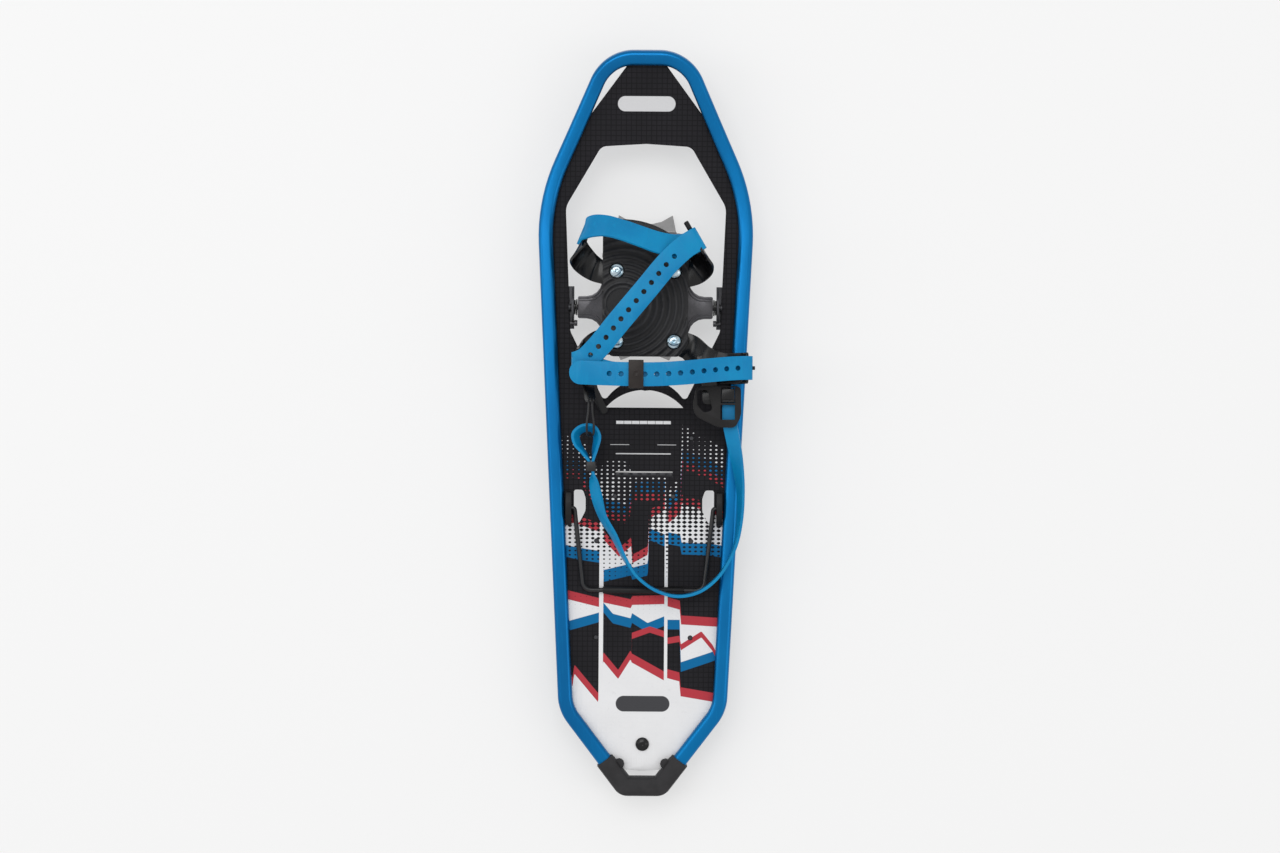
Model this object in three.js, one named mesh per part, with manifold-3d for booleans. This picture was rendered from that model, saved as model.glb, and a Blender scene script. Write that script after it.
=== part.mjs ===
// A backcountry snowshoe: an aluminium tube frame around a fabric deck, a pivoting binding with its toe
// crampon and straps, a folding heel lift, and toothed rails underneath. Millimetres, +X to the right,
// +Y towards the nose, +Z up. The origin is on the ground, under the middle of the snowshoe.
import * as THREE from 'three';
import { mergeVertices } from 'three/addons/utils/BufferGeometryUtils.js';
import Module from 'manifold-3d';

const wasm = await Module();
wasm.setup();

// ---------- driving dimensions ----------
const gap = 0.3; // between pieces that touch
const noseY = 329.8;
const tailY = -328.7;
const tubeWide = 13;
const tubeTall = 15;
const grooveDeep = 2.7;
const grooveTall = 2.6;
const deckZ = 34; // middle of the deck sheet above the ground
const deckThick = 1.6;
const deckInset = 11.4; // from the frame's outer edge to the deck's edge, inside the groove
const curlStartY = 170;
const curlLift = 24;
const steel = 2; // thickness of rails, cleat and brackets
const pivotY = 104;
const pivotZ = 38;
const wingEndX = 60;
const pinRadius = 2.5;
const boltX = 25.5;
const boltYs = [136, 73.5];
const footbedX = 38;
const footbedZ = 43.9;
const footbedThick = 4.2;
const carriageZ = 35.1;
const carriageThick = 6;
const armThick = 2.2;
const cramponZ = 32.4;
const cramponThick = 2.4;
const bailY = -74.5;
const bailZ = 38.4;
const bailReach = 73;
const bailRadius = 2;
const strapWide = 20.5;
const strapThick = 2.2;
const foldRadius = 3.6; // middle of the strap where it turns round a bar
const heelStrapWide = 12.4;
const heelStrapThick = 2.4;
const railX = 50;

const deckTop = deckZ + deckThick / 2;
const deckBottom = deckZ - deckThick / 2;
const flangeTop = deckBottom - gap;

// Right half of the frame's outer edge, nose to tail, as corners with bend radii.
const frameEdge = [
  { x: 0, y: noseY },
  { x: 38.6, y: noseY, r: 42 },
  { x: 97.3, y: 199.6, r: 165 },
  { x: 74.9, y: -255.4, r: 42 },
  { x: 19, y: tailY, r: 12 },
  { x: 0, y: tailY },
];

// ---------- helpers ----------
const vec = (x, y, z) => new THREE.Vector3(x, y, z);
const snowshoe = new THREE.Group();

const finishes = {
  tube: { color: 0x0a73be, roughness: 0.35, metalness: 0.7 },
  plastic: { color: 0x37363a, roughness: 0.6, metalness: 0 },
  gloss: { color: 0x1b1b1d, roughness: 0.3, metalness: 0 },
  deck: { color: 0x26252a, roughness: 0.75, metalness: 0 },
  steel: { color: 0x9a9a9c, roughness: 0.4, metalness: 0.9 },
  zinc: { color: 0xb9c6d2, roughness: 0.25, metalness: 0.9 },
  cast: { color: 0x55545a, roughness: 0.5, metalness: 0.4 },
  strap: { color: 0x0580c4, roughness: 0.45, metalness: 0 },
  blackWire: { color: 0x202022, roughness: 0.4, metalness: 0.6 },
};

function add(name, finish, shape) {
  const geometry = shape.isBufferGeometry ? shape : toGeometry(shape);
  const mesh = new THREE.Mesh(geometry, new THREE.MeshStandardMaterial(finishes[finish]));
  mesh.name = name;
  snowshoe.add(mesh);
}

function toSolid(geometry) {
  const bare = geometry.clone();
  bare.deleteAttribute('normal');
  bare.deleteAttribute('uv');
  const merged = mergeVertices(bare, 1e-4);
  const vertProperties = new Float32Array(merged.attributes.position.array);
  const triVerts = new Uint32Array(merged.index.array);
  return new wasm.Manifold(new wasm.Mesh({ numProp: 3, vertProperties, triVerts }));
}

function toGeometry(solid) {
  const mesh = solid.getMesh();
  const geometry = new THREE.BufferGeometry();
  geometry.setAttribute('position', new THREE.BufferAttribute(mesh.vertProperties, 3));
  geometry.setIndex(new THREE.BufferAttribute(mesh.triVerts, 1));
  geometry.computeVertexNormals();
  return geometry;
}

const joined = (...geometries) => geometries.map(toSolid).reduce((whole, piece) => whole.add(piece));
const cut = (solid, ...tools) => tools.map(toSolid).reduce((rest, tool) => rest.subtract(tool), solid);

// Points along a run of corners, with an arc at each corner that has a radius.
function roundedRun(corners, closed = false, stepDegrees = 12) {
  const count = corners.length;
  const points = [];
  corners.forEach((corner, i) => {
    const here = new THREE.Vector2(corner.x, corner.y);
    const before = corners[closed ? (i + count - 1) % count : i - 1];
    const after = corners[closed ? (i + 1) % count : i + 1];
    if (!before || !after || !corner.r) {
      points.push(here);
      return;
    }
    const into = here.clone().sub(before).normalize();
    const out = new THREE.Vector2(after.x, after.y).sub(here).normalize();
    const turn = Math.atan2(into.cross(out), into.dot(out));
    const reach = corner.r * Math.tan(Math.abs(turn) / 2);
    const start = here.clone().addScaledVector(into, -reach);
    const centre = start.clone().add(
      new THREE.Vector2(-into.y, into.x).multiplyScalar(corner.r * Math.sign(turn)));
    const steps = Math.max(1, Math.round(Math.abs(THREE.MathUtils.radToDeg(turn)) / stepDegrees));
    for (let k = 0; k <= steps; k += 1) {
      points.push(start.clone().rotateAround(centre, (turn * k) / steps));
    }
  });
  return points;
}

// The frame's outer edge moved inwards by a distance, as corners of the right half.
function insetEdge(distance) {
  const corners = frameEdge;
  const inward = (a, b) => new THREE.Vector2(b.y - a.y, a.x - b.x).normalize();
  return corners.map((corner, i) => {
    const first = inward(corners[Math.max(i - 1, 0)], corners[Math.max(i, 1)]);
    const last = corners.length - 1;
    const second = inward(corners[Math.min(i, last - 1)], corners[Math.min(i + 1, last)]);
    const move = first.clone().add(second).multiplyScalar(distance / (1 + first.dot(second)));
    const r = corner.r ? Math.max(corner.r - distance, 2) : 0;
    return { x: corner.x + move.x, y: corner.y + move.y, r };
  });
}

const mirrored = (corners) => corners.map(({ x, y, r }) => ({ x: -x, y, r })).reverse();

// A closed outline from its right half, whose first and last points lie on the middle line.
const bothHalves = (half) => [...half, ...mirrored(half.slice(1, -1))];

// A closed outline without the points that lie on a straight line between their neighbours.
function outlineOf(points) {
  const bends = points.filter((point, i) => {
    const before = points.at(i - 1);
    const after = points[(i + 1) % points.length];
    const area = point.clone().sub(before).cross(after.clone().sub(point));
    return Math.abs(area) > 1e-4;
  });
  return new THREE.Shape(bends);
}

const shapeOf = (corners, stepDegrees = 12) => outlineOf(roundedRun(corners, true, stepDegrees));

// A flat plate: an outline with holes, from a height upwards.
function plate(shape, bottom, thickness) {
  const geometry = new THREE.ExtrudeGeometry(shape, { depth: thickness, bevelEnabled: false });
  return geometry.translate(0, 0, bottom);
}

// A plate standing across the snowshoe: outline in X and Z, thickness along Y.
function acrossPlate(shape, y, thickness) {
  return plate(shape, 0, thickness).rotateX(Math.PI / 2).translate(0, y + thickness, 0);
}

// A plate standing along the snowshoe: outline in Y and Z, thickness along X.
function alongPlate(shape, x, thickness) {
  const turned = new THREE.Matrix4().makeBasis(vec(0, 1, 0), vec(0, 0, 1), vec(1, 0, 0));
  return plate(shape, 0, thickness).applyMatrix4(turned).translate(x, 0, 0);
}

function box(x0, x1, y0, y1, z0, z1) {
  const geometry = new THREE.BoxGeometry(x1 - x0, y1 - y0, z1 - z0);
  return geometry.translate((x0 + x1) / 2, (y0 + y1) / 2, (z0 + z1) / 2);
}

// An upright cylinder, and one along X.
function post(x, y, z0, z1, radius, sides = 12) {
  const geometry = new THREE.CylinderGeometry(radius, radius, z1 - z0, sides).rotateX(Math.PI / 2);
  return geometry.translate(x, y, (z0 + z1) / 2);
}

function crossRod(x0, x1, y, z, radius, sides = 16) {
  const length = Math.abs(x1 - x0);
  const geometry = new THREE.CylinderGeometry(radius, radius, length, sides).rotateZ(Math.PI / 2);
  return geometry.translate((x0 + x1) / 2, y, z);
}

// A path whose stations each carry their own section directions.
class StationPath extends THREE.Curve {
  constructor(stations) {
    super();
    this.stations = stations;
  }

  getSpacedPoints() {
    return this.stations.map(({ at }) => at);
  }

  computeFrenetFrames() {
    return {
      tangents: this.stations.map(({ along }) => along),
      normals: this.stations.map(({ side }) => side),
      binormals: this.stations.map(({ up }) => up),
    };
  }
}

function sweep(stations, shape) {
  const extrudePath = new StationPath(stations);
  return new THREE.ExtrudeGeometry(shape, { steps: stations.length - 1, extrudePath });
}

function tangents(points) {
  const last = points.length - 1;
  return points.map((_, i) => {
    const ahead = points[Math.min(i + 1, last)];
    return ahead.clone().sub(points[Math.max(i - 1, 0)]).normalize();
  });
}

// A flat strip through points, with the direction of its width given at each.
function ribbon(points, sides, width, thickness) {
  const along = tangents(points);
  const stations = points.map((at, i) => {
    const side = sides[i].clone();
    const up = along[i].clone().cross(side).normalize();
    return { at, along: along[i], side, up };
  });
  const section = new THREE.Shape([
    new THREE.Vector2(-width / 2, -thickness / 2),
    new THREE.Vector2(width / 2, -thickness / 2),
    new THREE.Vector2(width / 2, thickness / 2),
    new THREE.Vector2(-width / 2, thickness / 2),
  ]);
  return sweep(stations, section);
}

// A strip through a few guide stations [x, y, z, side x, side y, side z], smoothed between them.
// A round tip adds stations past the end, each narrower than the last.
function smoothRibbon(guides, width, thickness, stepsEach = 2, roundTip = false) {
  const path = new THREE.CatmullRomCurve3(guides.map(([x, y, z]) => vec(x, y, z)));
  const turn = new THREE.CatmullRomCurve3(guides.map((guide) => vec(...guide.slice(3))));
  const steps = (guides.length - 1) * stepsEach;
  const points = [];
  const sides = [];
  for (let i = 0; i <= steps; i += 1) {
    points.push(path.getPoint(i / steps));
    sides.push(turn.getPoint(i / steps).normalize());
  }
  if (roundTip) {
    const end = points.at(-1);
    const ahead = end.clone().sub(points.at(-2)).normalize();
    const side = sides.at(-1);
    [25, 45, 60, 75].forEach((degrees) => {
      const angle = THREE.MathUtils.degToRad(degrees);
      points.push(end.clone().addScaledVector(ahead, (Math.sin(angle) * width) / 2));
      sides.push(side.clone().multiplyScalar(Math.cos(angle)));
    });
  }
  return ribbon(points, sides, width, thickness);
}

// A round wire through points, kept upright.
function wire(points, radius, corners = 8) {
  const along = tangents(points);
  const stations = points.map((at, i) => {
    const side = along[i].clone().cross(vec(0.01, 0.02, 1)).normalize();
    const up = along[i].clone().cross(side).normalize();
    return { at, along: along[i], side, up };
  });
  const ring = new THREE.EllipseCurve(0, 0, radius, radius).getPoints(corners).slice(0, -1);
  return sweep(stations, new THREE.Shape(ring));
}

// ---------- frame ----------
function curlAt(y) {
  const along = Math.max(0, (y - curlStartY) / (noseY - curlStartY));
  return curlLift * along * along;
}

function deckNormal(y) {
  const along = Math.max(0, (y - curlStartY) / (noseY - curlStartY));
  const slope = (2 * curlLift * along) / (noseY - curlStartY);
  return vec(0, -slope, 1).normalize();
}

// Stations along a flat run of points, lifted onto the deck's curved middle surface.
function stationsOnDeck(run, longest = 20) {
  const flat = [];
  run.forEach((point, i) => {
    if (i > 0) {
      const from = run[i - 1];
      const curled = Math.max(from.y, point.y) > curlStartY;
      const pieces = curled ? Math.ceil(from.distanceTo(point) / longest) : 1;
      for (let k = 1; k < pieces; k += 1) flat.push(from.clone().lerp(point, k / pieces));
    }
    flat.push(point);
  });
  const points = flat.map(({ x, y }) => vec(x, y, deckZ + curlAt(y)));
  const along = tangents(points);
  return points.map((at, i) => {
    const up = deckNormal(at.y);
    const side = up.clone().cross(along[i]).normalize();
    return { at, along: along[i], side, up };
  });
}

// The middle line of the tube, from one end in the tail cap round the nose to the other.
function tubeLine(endY) {
  const half = insetEdge(tubeWide / 2);
  const bend = half[3];
  const corner = half[4];
  const share = (endY - bend.y) / (corner.y - bend.y);
  const end = { x: THREE.MathUtils.lerp(bend.x, corner.x, share), y: endY };
  const right = [...half.slice(1, 4), end];
  return [...mirrored(right), ...right];
}

function tubeSection(halfWide, halfTall, grooved) {
  const r = 4;
  const corners = [
    { x: halfWide, y: -halfTall, r },
    { x: halfWide, y: halfTall, r },
    { x: -halfWide, y: halfTall, r },
  ];
  if (grooved) {
    corners.push({ x: -halfWide, y: grooveTall / 2 });
    corners.push({ x: -halfWide + grooveDeep, y: grooveTall / 2 });
    corners.push({ x: -halfWide + grooveDeep, y: -grooveTall / 2 });
    corners.push({ x: -halfWide, y: -grooveTall / 2 });
  }
  corners.push({ x: -halfWide, y: -halfTall, r });
  return shapeOf(corners, 45);
}

const tubeEndY = -309;

function frameTube() {
  const section = tubeSection(tubeWide / 2, tubeTall / 2, true);
  const wall = 1.3;
  const hollowLeft = -tubeWide / 2 + grooveDeep + wall;
  const hollow = roundedRun([
    { x: hollowLeft, y: -tubeTall / 2 + wall },
    { x: tubeWide / 2 - wall, y: -tubeTall / 2 + wall, r: 2.5 },
    { x: tubeWide / 2 - wall, y: tubeTall / 2 - wall, r: 2.5 },
    { x: hollowLeft, y: tubeTall / 2 - wall },
  ], true, 90);
  section.holes.push(new THREE.Path(hollow));
  return sweep(stationsOnDeck(roundedRun(tubeLine(tubeEndY), false, 9)), section);
}

// The tail cap's bar round the tail, made thicker by a margin when it is used to cut the deck.
function tailBar(margin) {
  const half = insetEdge(tubeWide / 2);
  const start = tubeLine(-299).at(-1);
  const run = [start, half[4], mirrored([half[4]])[0], mirrored([start])[0]];
  const section = tubeSection(8.3 + margin, 9.3 + margin, false);
  return sweep(stationsOnDeck(roundedRun(run, false, 9)), section);
}

function tailCap() {
  const right = tubeLine(-290).at(-1);
  const deep = tubeLine(tubeEndY - gap).at(-1);
  const section = tubeSection(tubeWide / 2 + gap, tubeTall / 2 + gap, false);
  const socket = sweep(stationsOnDeck(roundedRun([right, deep])), section);
  const otherSocket = sweep(stationsOnDeck(roundedRun(mirrored([right, deep]))), section);
  const lugs = [-1, 1].map((side) => post(side * 20.5, -302, deckTop + gap, deckTop + 4.5, 4.5, 12));
  return cut(joined(tailBar(0), ...lugs), socket, otherSocket);
}

// ---------- deck ----------
const frontOpening = [
  { x: 0, y: 249.5 },
  { x: 40, y: 247, r: 9 },
  { x: 71.5, y: 194, r: 18 },
  { x: 66.8, y: 83, r: 12 },
  { x: 36, y: 20, r: 3 },
];

// An arc over the middle line, through (width, low) and (0, high), as points of its right half.
function archPoints(width, low, high, steps = 6) {
  const rise = high - low;
  const radius = (width * width + rise * rise) / (2 * rise);
  const start = Math.asin((high - radius - low) / -radius);
  const points = [];
  for (let i = 1; i <= steps; i += 1) {
    const angle = THREE.MathUtils.lerp(start, Math.PI / 2, i / steps);
    points.push({ x: radius * Math.cos(angle), y: high - radius + radius * Math.sin(angle) });
  }
  points.at(-1).x = 0;
  return points;
}

const heelSlot = { halfWide: 25.5, y0: -46.8, y1: -41.8 };

const kidney = [
  { x: 62.5, y: -58.5, r: 2 },
  { x: 54.5, y: -58.5, r: 3 },
  { x: 52, y: -66, r: 6 },
  { x: 52, y: -77, r: 8 },
  { x: 57.5, y: -88, r: 3 },
  { x: 62.5, y: -88, r: 1.5 },
];

const railRivetYs = [-12, -104, -190];
const railRivetX = 42;
const cleatRivetX = 26;
const cleatRivetY = -64;
const tailButtonY = -285;

function rivetPlaces() {
  const places = railRivetYs.map((y, i) => ({ name: `rail_rivet_${i + 1}`, x: railRivetX, y }));
  places.push({ name: 'cleat_rivet', x: cleatRivetX, y: cleatRivetY });
  return places.flatMap(({ name, x, y }) => [
    { name: `${name}_left`, x: -x, y },
    { name: `${name}_right`, x, y },
  ]);
}

function deck() {
  const ys = [-noseY, curlStartY];
  while (ys.at(-1) < noseY) ys.push(ys.at(-1) + 16);
  const face = (offset) => ys.map((y) => new THREE.Vector2(y, deckZ + curlAt(y) + offset));
  const edge = outlineOf([...face(-deckThick / 2), ...face(deckThick / 2).reverse()]);
  const sheet = toSolid(alongPlate(edge, -100, 200));

  const outline = toSolid(plate(shapeOf(bothHalves(insetEdge(deckInset)), 9), 0, 100));
  const openings = [
    bothHalves([...frontOpening, ...archPoints(36, 20, 40.6)]),
    bothHalves([{ x: 0, y: 15 }, { x: 34.5, y: 15 }, ...archPoints(34.5, 15, 30.8)]),
    kidney,
    mirrored(kidney),
  ];

  const tools = openings.map((corners) => plate(shapeOf(corners, 15), 0, 100));
  rivetPlaces().forEach(({ x, y }) => tools.push(post(x, y, 0, 60, 2.3, 12)));
  tools.push(post(0, tailButtonY, 0, 60, 3.4));
  tools.push(box(-heelSlot.halfWide, heelSlot.halfWide, heelSlot.y0, heelSlot.y1, 0, 60));
  tools.push(box(-60, 60, -340, -307.8, 0, 60));
  tools.push(tailBar(gap + 0.1));
  [-1, 1].forEach((side) => {
    const corner = [[14.4, 320.6], [51.3, 272.5], [64, 272.5], [64, 335], [14.4, 335]];
    const points = corner.map(([x, y]) => new THREE.Vector2(side * x, y));
    tools.push(plate(new THREE.Shape(points), 0, 100));
  });
  return cut(sheet.intersect(outline), ...tools);
}

// ---------- underside ----------
function rivet(x, y) {
  const head = post(x, y, flangeTop - steel - gap - 1.4, flangeTop - steel - gap, 3.8, 10);
  return joined(head, post(x, y, flangeTop - steel - gap - 1, deckTop - 0.1, 2, 8));
}

// Outline in Y and Z of a row of teeth that hang from a height down to the ground.
function toothRow(yFront, count, pitch, top, root) {
  const points = [new THREE.Vector2(yFront, top)];
  for (let i = 0; i < count; i += 1) {
    const y = yFront - i * pitch;
    points.push(new THREE.Vector2(y - pitch * 0.08, root));
    points.push(new THREE.Vector2(y - pitch * 0.44, 0));
    points.push(new THREE.Vector2(y - pitch * 0.56, 0));
    points.push(new THREE.Vector2(y - pitch * 0.92, root));
  }
  points.push(new THREE.Vector2(yFront - count * pitch, top));
  return outlineOf(points);
}

function rail(side) {
  const front = 6;
  const pitch = 23;
  const count = 9;
  const x0 = side > 0 ? railX - steel : -railX;
  const web = alongPlate(toothRow(front, count, pitch, flangeTop, 13), x0, steel);
  const inner = side * (railX - 14);
  const [low, high] = [Math.min(inner, side * railX), Math.max(inner, side * railX)];
  const flange = box(low, high, front - count * pitch, front, flangeTop - steel, flangeTop);
  const holes = railRivetYs.map((y) => post(side * railRivetX, y, 0, 60, 2.3, 12));
  return cut(joined(web, flange), ...holes);
}

function heelCleat() {
  const tongue = heelSlot.halfWide - 1;
  const top = deckTop - 0.1;
  const half = [[0, 12], [9, 17], [17, 6], [29, 0], [31, 0], [33, 20], [33, flangeTop], [tongue, flangeTop]];
  const scallops = 6;
  const pitch = (2 * tongue) / scallops;
  const edge = half.map(([x, z]) => new THREE.Vector2(x, z));
  for (let i = 0; i < scallops; i += 1) {
    const x = tongue - i * pitch;
    edge.push(new THREE.Vector2(x, top));
    edge.push(new THREE.Vector2(x - pitch * 0.25, top));
    edge.push(new THREE.Vector2(x - pitch * 0.5, flangeTop));
    edge.push(new THREE.Vector2(x - pitch * 0.75, top));
  }
  edge.push(new THREE.Vector2(-tongue, top));
  half.slice(1).reverse().forEach(([x, z]) => edge.push(new THREE.Vector2(-x, z)));
  const web = acrossPlate(outlineOf(edge), -45.3, steel);
  const flange = box(-33, 33, -76, -43.3, flangeTop - steel, flangeTop);
  const holes = [-1, 1].map((side) => post(side * cleatRivetX, cleatRivetY, 0, 60, 2.3, 12));
  return cut(joined(web, flange), ...holes);
}

function tailButton() {
  const dome = [[0, 2.6], [3, 2.3], [5.2, 1.2], [6, 0], [0, 0]].map(([r, z]) => new THREE.Vector2(r, z));
  const head = new THREE.LatheGeometry(dome.reverse(), 20).rotateX(Math.PI / 2);
  head.translate(0, tailButtonY, deckTop + gap);
  const shank = post(0, tailButtonY, deckBottom - 1.4, deckTop + gap + 0.5, 3);
  const foot = post(0, tailButtonY, deckBottom - 3, deckBottom - gap, 5);
  return joined(head, shank, foot);
}

// ---------- pivot ----------
function pivotBracket(side) {
  const ear = shapeOf([
    { x: pivotY - 19, y: flangeTop - steel },
    { x: pivotY + 19, y: flangeTop - steel },
    { x: pivotY + 19, y: flangeTop },
    { x: pivotY + 8, y: pivotZ + 8, r: 7 },
    { x: pivotY - 8, y: pivotZ + 8, r: 7 },
    { x: pivotY - 17, y: flangeTop + 2, r: 2 },
  ], 20);
  const x0 = side > 0 ? 63.4 : -65.4;
  const foot = side > 0 ? [63.4, 77] : [-77, -63.4];
  const flange = box(foot[0], foot[1], pivotY - 19, pivotY + 19, flangeTop - steel, flangeTop);
  const bore = crossRod(side * 60, side * 70, pivotY, pivotZ, 3.9);
  const stopBore = crossRod(side * 60, side * 70, pivotY - 14, pivotZ - 1, 1.9, 12);
  return cut(joined(alongPlate(ear, x0, steel), flange), bore, stopBore);
}

function pivotBush(side) {
  const flange = crossRod(side * 62, side * 63.1, pivotY, pivotZ, 6.6, 20);
  const sleeve = crossRod(side * 62.5, side * 66.4, pivotY, pivotZ, 3.6);
  return cut(joined(flange, sleeve), crossRod(side * 60, side * 70, pivotY, pivotZ, pinRadius + 0.25));
}

function pivotPin(side) {
  const shank = crossRod(side * 46, side * 67, pivotY, pivotZ, pinRadius);
  const head = crossRod(side * 66.7, side * 68.2, pivotY, pivotZ, 2.9);
  return joined(shank, head);
}

function pivotWasher(side) {
  const ring = toSolid(crossRod(side * 60.4, side * 61.6, pivotY, pivotZ, 7.2, 16));
  return cut(ring, crossRod(side * 59, side * 63, pivotY, pivotZ, pinRadius + gap));
}

function rotationStop(side) {
  const stem = crossRod(side * 60.8, side * 67, pivotY - 14, pivotZ - 1, 1.6, 12);
  return joined(stem, crossRod(side * 60.4, side * 63.1, pivotY - 14, pivotZ - 1, 2.7, 12));
}

// ---------- binding ----------
const boltPlaces = boltYs.flatMap((y) => [-1, 1].map((side) => ({ x: side * boltX, y })));
const footbedTop = footbedZ + footbedThick;
const seatDeep = 1.2;
const boltHoles = () => boltPlaces.map(({ x, y }) => post(x, y, 0, 80, 3.1, 12));

function carriage() {
  const half = [
    { x: 0, y: 170 },
    { x: 33, y: 170, r: 4 },
    { x: 36.5, y: 128, r: 6 },
    { x: 44, y: pivotY + 10, r: 14 },
    { x: wingEndX, y: pivotY + 9.7, r: 1.5 },
    { x: wingEndX, y: pivotY - 9.7, r: 1.5 },
    { x: 44, y: pivotY - 10, r: 14 },
    { x: 36.5, y: 80, r: 6 },
    { x: 33, y: 64, r: 4 },
    { x: 0, y: 64 },
  ];
  const body = plate(shapeOf(bothHalves(half), 20), carriageZ, carriageThick);
  const barrels = [-1, 1].map((side) => crossRod(side * 40, side * wingEndX, pivotY, pivotZ, 5.6));
  const bores = [-1, 1].map((side) => crossRod(side * 45.5, side * 64, pivotY, pivotZ, pinRadius + gap));
  const trimmed = cut(joined(body, ...barrels), ...bores, ...boltHoles());
  return cut(trimmed, box(-80, 80, 0, 300, carriageZ + carriageThick, 90));
}

// The footbed's front edge follows a wide arc centred left of the middle.
function footbed() {
  const centre = { x: -20, y: 106.6 };
  const radius = 75;
  const front = [];
  for (let i = 0; i <= 6; i += 1) {
    const x = THREE.MathUtils.lerp(-footbedX, footbedX, i / 6);
    front.push({ x, y: centre.y + Math.sqrt(radius * radius - (x - centre.x) ** 2) });
  }
  const corners = [
    ...front,
    { x: footbedX, y: 72, r: 5 },
    { x: 30, y: 60.2, r: 5 },
    { x: -31, y: 60.2, r: 6 },
    { x: -footbedX, y: 72, r: 5 },
  ];
  const slab = toSolid(plate(shapeOf(corners, 20), footbedZ, footbedThick));
  const seats = boltPlaces.map(({ x, y }) => post(x, y, footbedTop - seatDeep, 80, 6.9, 20));
  return cut(slab, ...boltHoles(), ...seats);
}

function bolt({ x, y }) {
  const base = footbedTop - seatDeep + gap;
  const profile = [[0, 3.4], [3.6, 2.8], [5.8, 1.4], [6.5, 0], [0, 0]];
  const dome = new THREE.LatheGeometry(profile.map(([r, z]) => new THREE.Vector2(r, z)).reverse(), 16);
  dome.rotateX(Math.PI / 2).translate(x, y, base);
  return joined(dome, post(x, y, cramponZ - 5, base + 0.5, 2.7, 12));
}

function nut({ x, y }) {
  const hex = toSolid(post(x, y, cramponZ - gap - 4, cramponZ - gap, 5.4, 6));
  return cut(hex, post(x, y, 0, 60, 3, 12));
}

// A toothed blade under the crampon plate: outline across and down, hinged at its top edge.
function blade(outline, place, tilt, heading) {
  const shape = outlineOf(outline.map(([across, down]) => new THREE.Vector2(across, down)));
  const geometry = plate(shape, -cramponThick / 2, cramponThick).rotateX(Math.PI / 2 + tilt);
  return geometry.rotateZ(heading).translate(...place);
}

function toeCrampon() {
  const top = cramponZ + cramponThick / 2;
  const lean = 0.5;
  const drop = -(top - 0.6) / Math.cos(lean);
  const corners = [
    { x: 0, y: 172 }, { x: 27, y: 172 }, { x: 34, y: 160 }, { x: 34, y: 65 }, { x: 0, y: 65 },
  ];
  const base = plate(shapeOf(bothHalves(corners)), cramponZ, cramponThick);
  const frontTeeth = [[-27, 1], [-24.5, drop], [-14, drop * 0.6], [0, drop * 0.38], [14, drop * 0.6],
    [24.5, drop], [27, 1]];
  const front = blade(frontTeeth, [0, 171, top], lean, 0);
  const rearLean = -0.2;
  const rearDrop = -(top - 0.6) / Math.cos(rearLean);
  const rearTeeth = [[-26, 1], [-22, rearDrop], [-10, -14], [0, -18], [10, -14], [22, rearDrop], [26, 1]];
  const rear = blade(rearTeeth, [0, 66.2, top], rearLean, 0);
  const sideDrop = -(top - 0.5) / Math.cos(0.16);
  const sideTeeth = [[-13, 1], [-9, sideDrop], [-6, sideDrop], [0, -14], [5, sideDrop * 0.8], [13, 1]];
  const sides = [-1, 1].flatMap((side) => [146, 86].map((y) => {
    const outline = side > 0 ? sideTeeth.map(([a, d]) => [a, d]) : sideTeeth.map(([a, d]) => [-a, d]);
    return blade(outline, [side * 33, y, top], 0.16, side > 0 ? -Math.PI / 2 : Math.PI / 2);
  }));
  return cut(joined(base, front, rear, ...sides), ...boltHoles());
}

// ---------- arms ----------
const tabZ = carriageZ + carriageThick + gap;
const tabMiddle = tabZ + armThick / 2;

// Where the strap turns round the bar at the top of an arm: the bar's middle, the way out, its length.
const toeBar = { at: [43.5, 160, 86], away: [0.86, 0.5], side: [-0.5, 0.86, 0] };
const leftBar = { at: [-59, 52, 88], away: [-1, 0], side: [0, 1, 0] };
const rightBar = { at: [88.5, 49.5, 87], away: [1, 0], side: [0, 1, 0] };
const barHigh = 3.2;

// The slot under a bar, for the strap's lower run.
function slotUnder({ at: [x, y, z], away }) {
  const long = strapWide + 1.2;
  const tall = strapThick + 1.6;
  const geometry = new THREE.BoxGeometry(9, long, tall).rotateZ(Math.atan2(away[1], away[0]));
  return geometry.translate(x, y, z - barHigh / 2 - tall / 2);
}

// An arm: a tab clamped under the footbed by a bolt, and bands that rise from it.
function arm(side, y, bands, slots) {
  const near = side * 14;
  const far = side * 37;
  const tab = box(Math.min(near, far), Math.max(near, far), y - 11, y + 9, tabZ, tabZ + armThick);
  const strips = bands.map(({ guides, width }) => smoothRibbon(guides, width, armThick - 0.2));
  return cut(joined(tab, ...strips), post(side * boltX, y, 0, 80, 3.1, 12), ...slots);
}

function toeArmLeft() {
  const guides = [
    [-30, 132, tabMiddle, 0.35, 0.94, 0],
    [-38, 134.8, tabMiddle, 0.35, 0.94, 0],
    [-45, 137.5, tabMiddle + 0.2, 0.35, 0.94, 0],
    [-54, 144, 50, 0.4, 0.92, 0],
    [-59, 151.5, 60.5, 0.45, 0.9, 0],
    [-56.3, 158.8, 70.5, 0.4, 0.92, 0],
    [-50.8, 165, 79.5, 0.4, 0.92, 0],
  ];
  return arm(-1, boltYs[0], [{ guides, width: 22 }], []);
}

function toeArmRight() {
  const guides = [
    [30, 132, tabMiddle, -0.25, 0.97, 0],
    [38, 134, tabMiddle, -0.27, 0.96, 0],
    [45, 137, tabMiddle + 0.2, -0.3, 0.95, 0],
    [50.5, 142.5, 50, -0.4, 0.92, 0],
    [51.5, 149.5, 62, -0.5, 0.86, 0],
    [47.5, 156.5, 75, ...toeBar.side],
    [toeBar.at[0], toeBar.at[1], toeBar.at[2] + barHigh / 2, ...toeBar.side],
  ];
  return arm(1, boltYs[0], [{ guides, width: 27 }], [slotUnder(toeBar)]);
}

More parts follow.
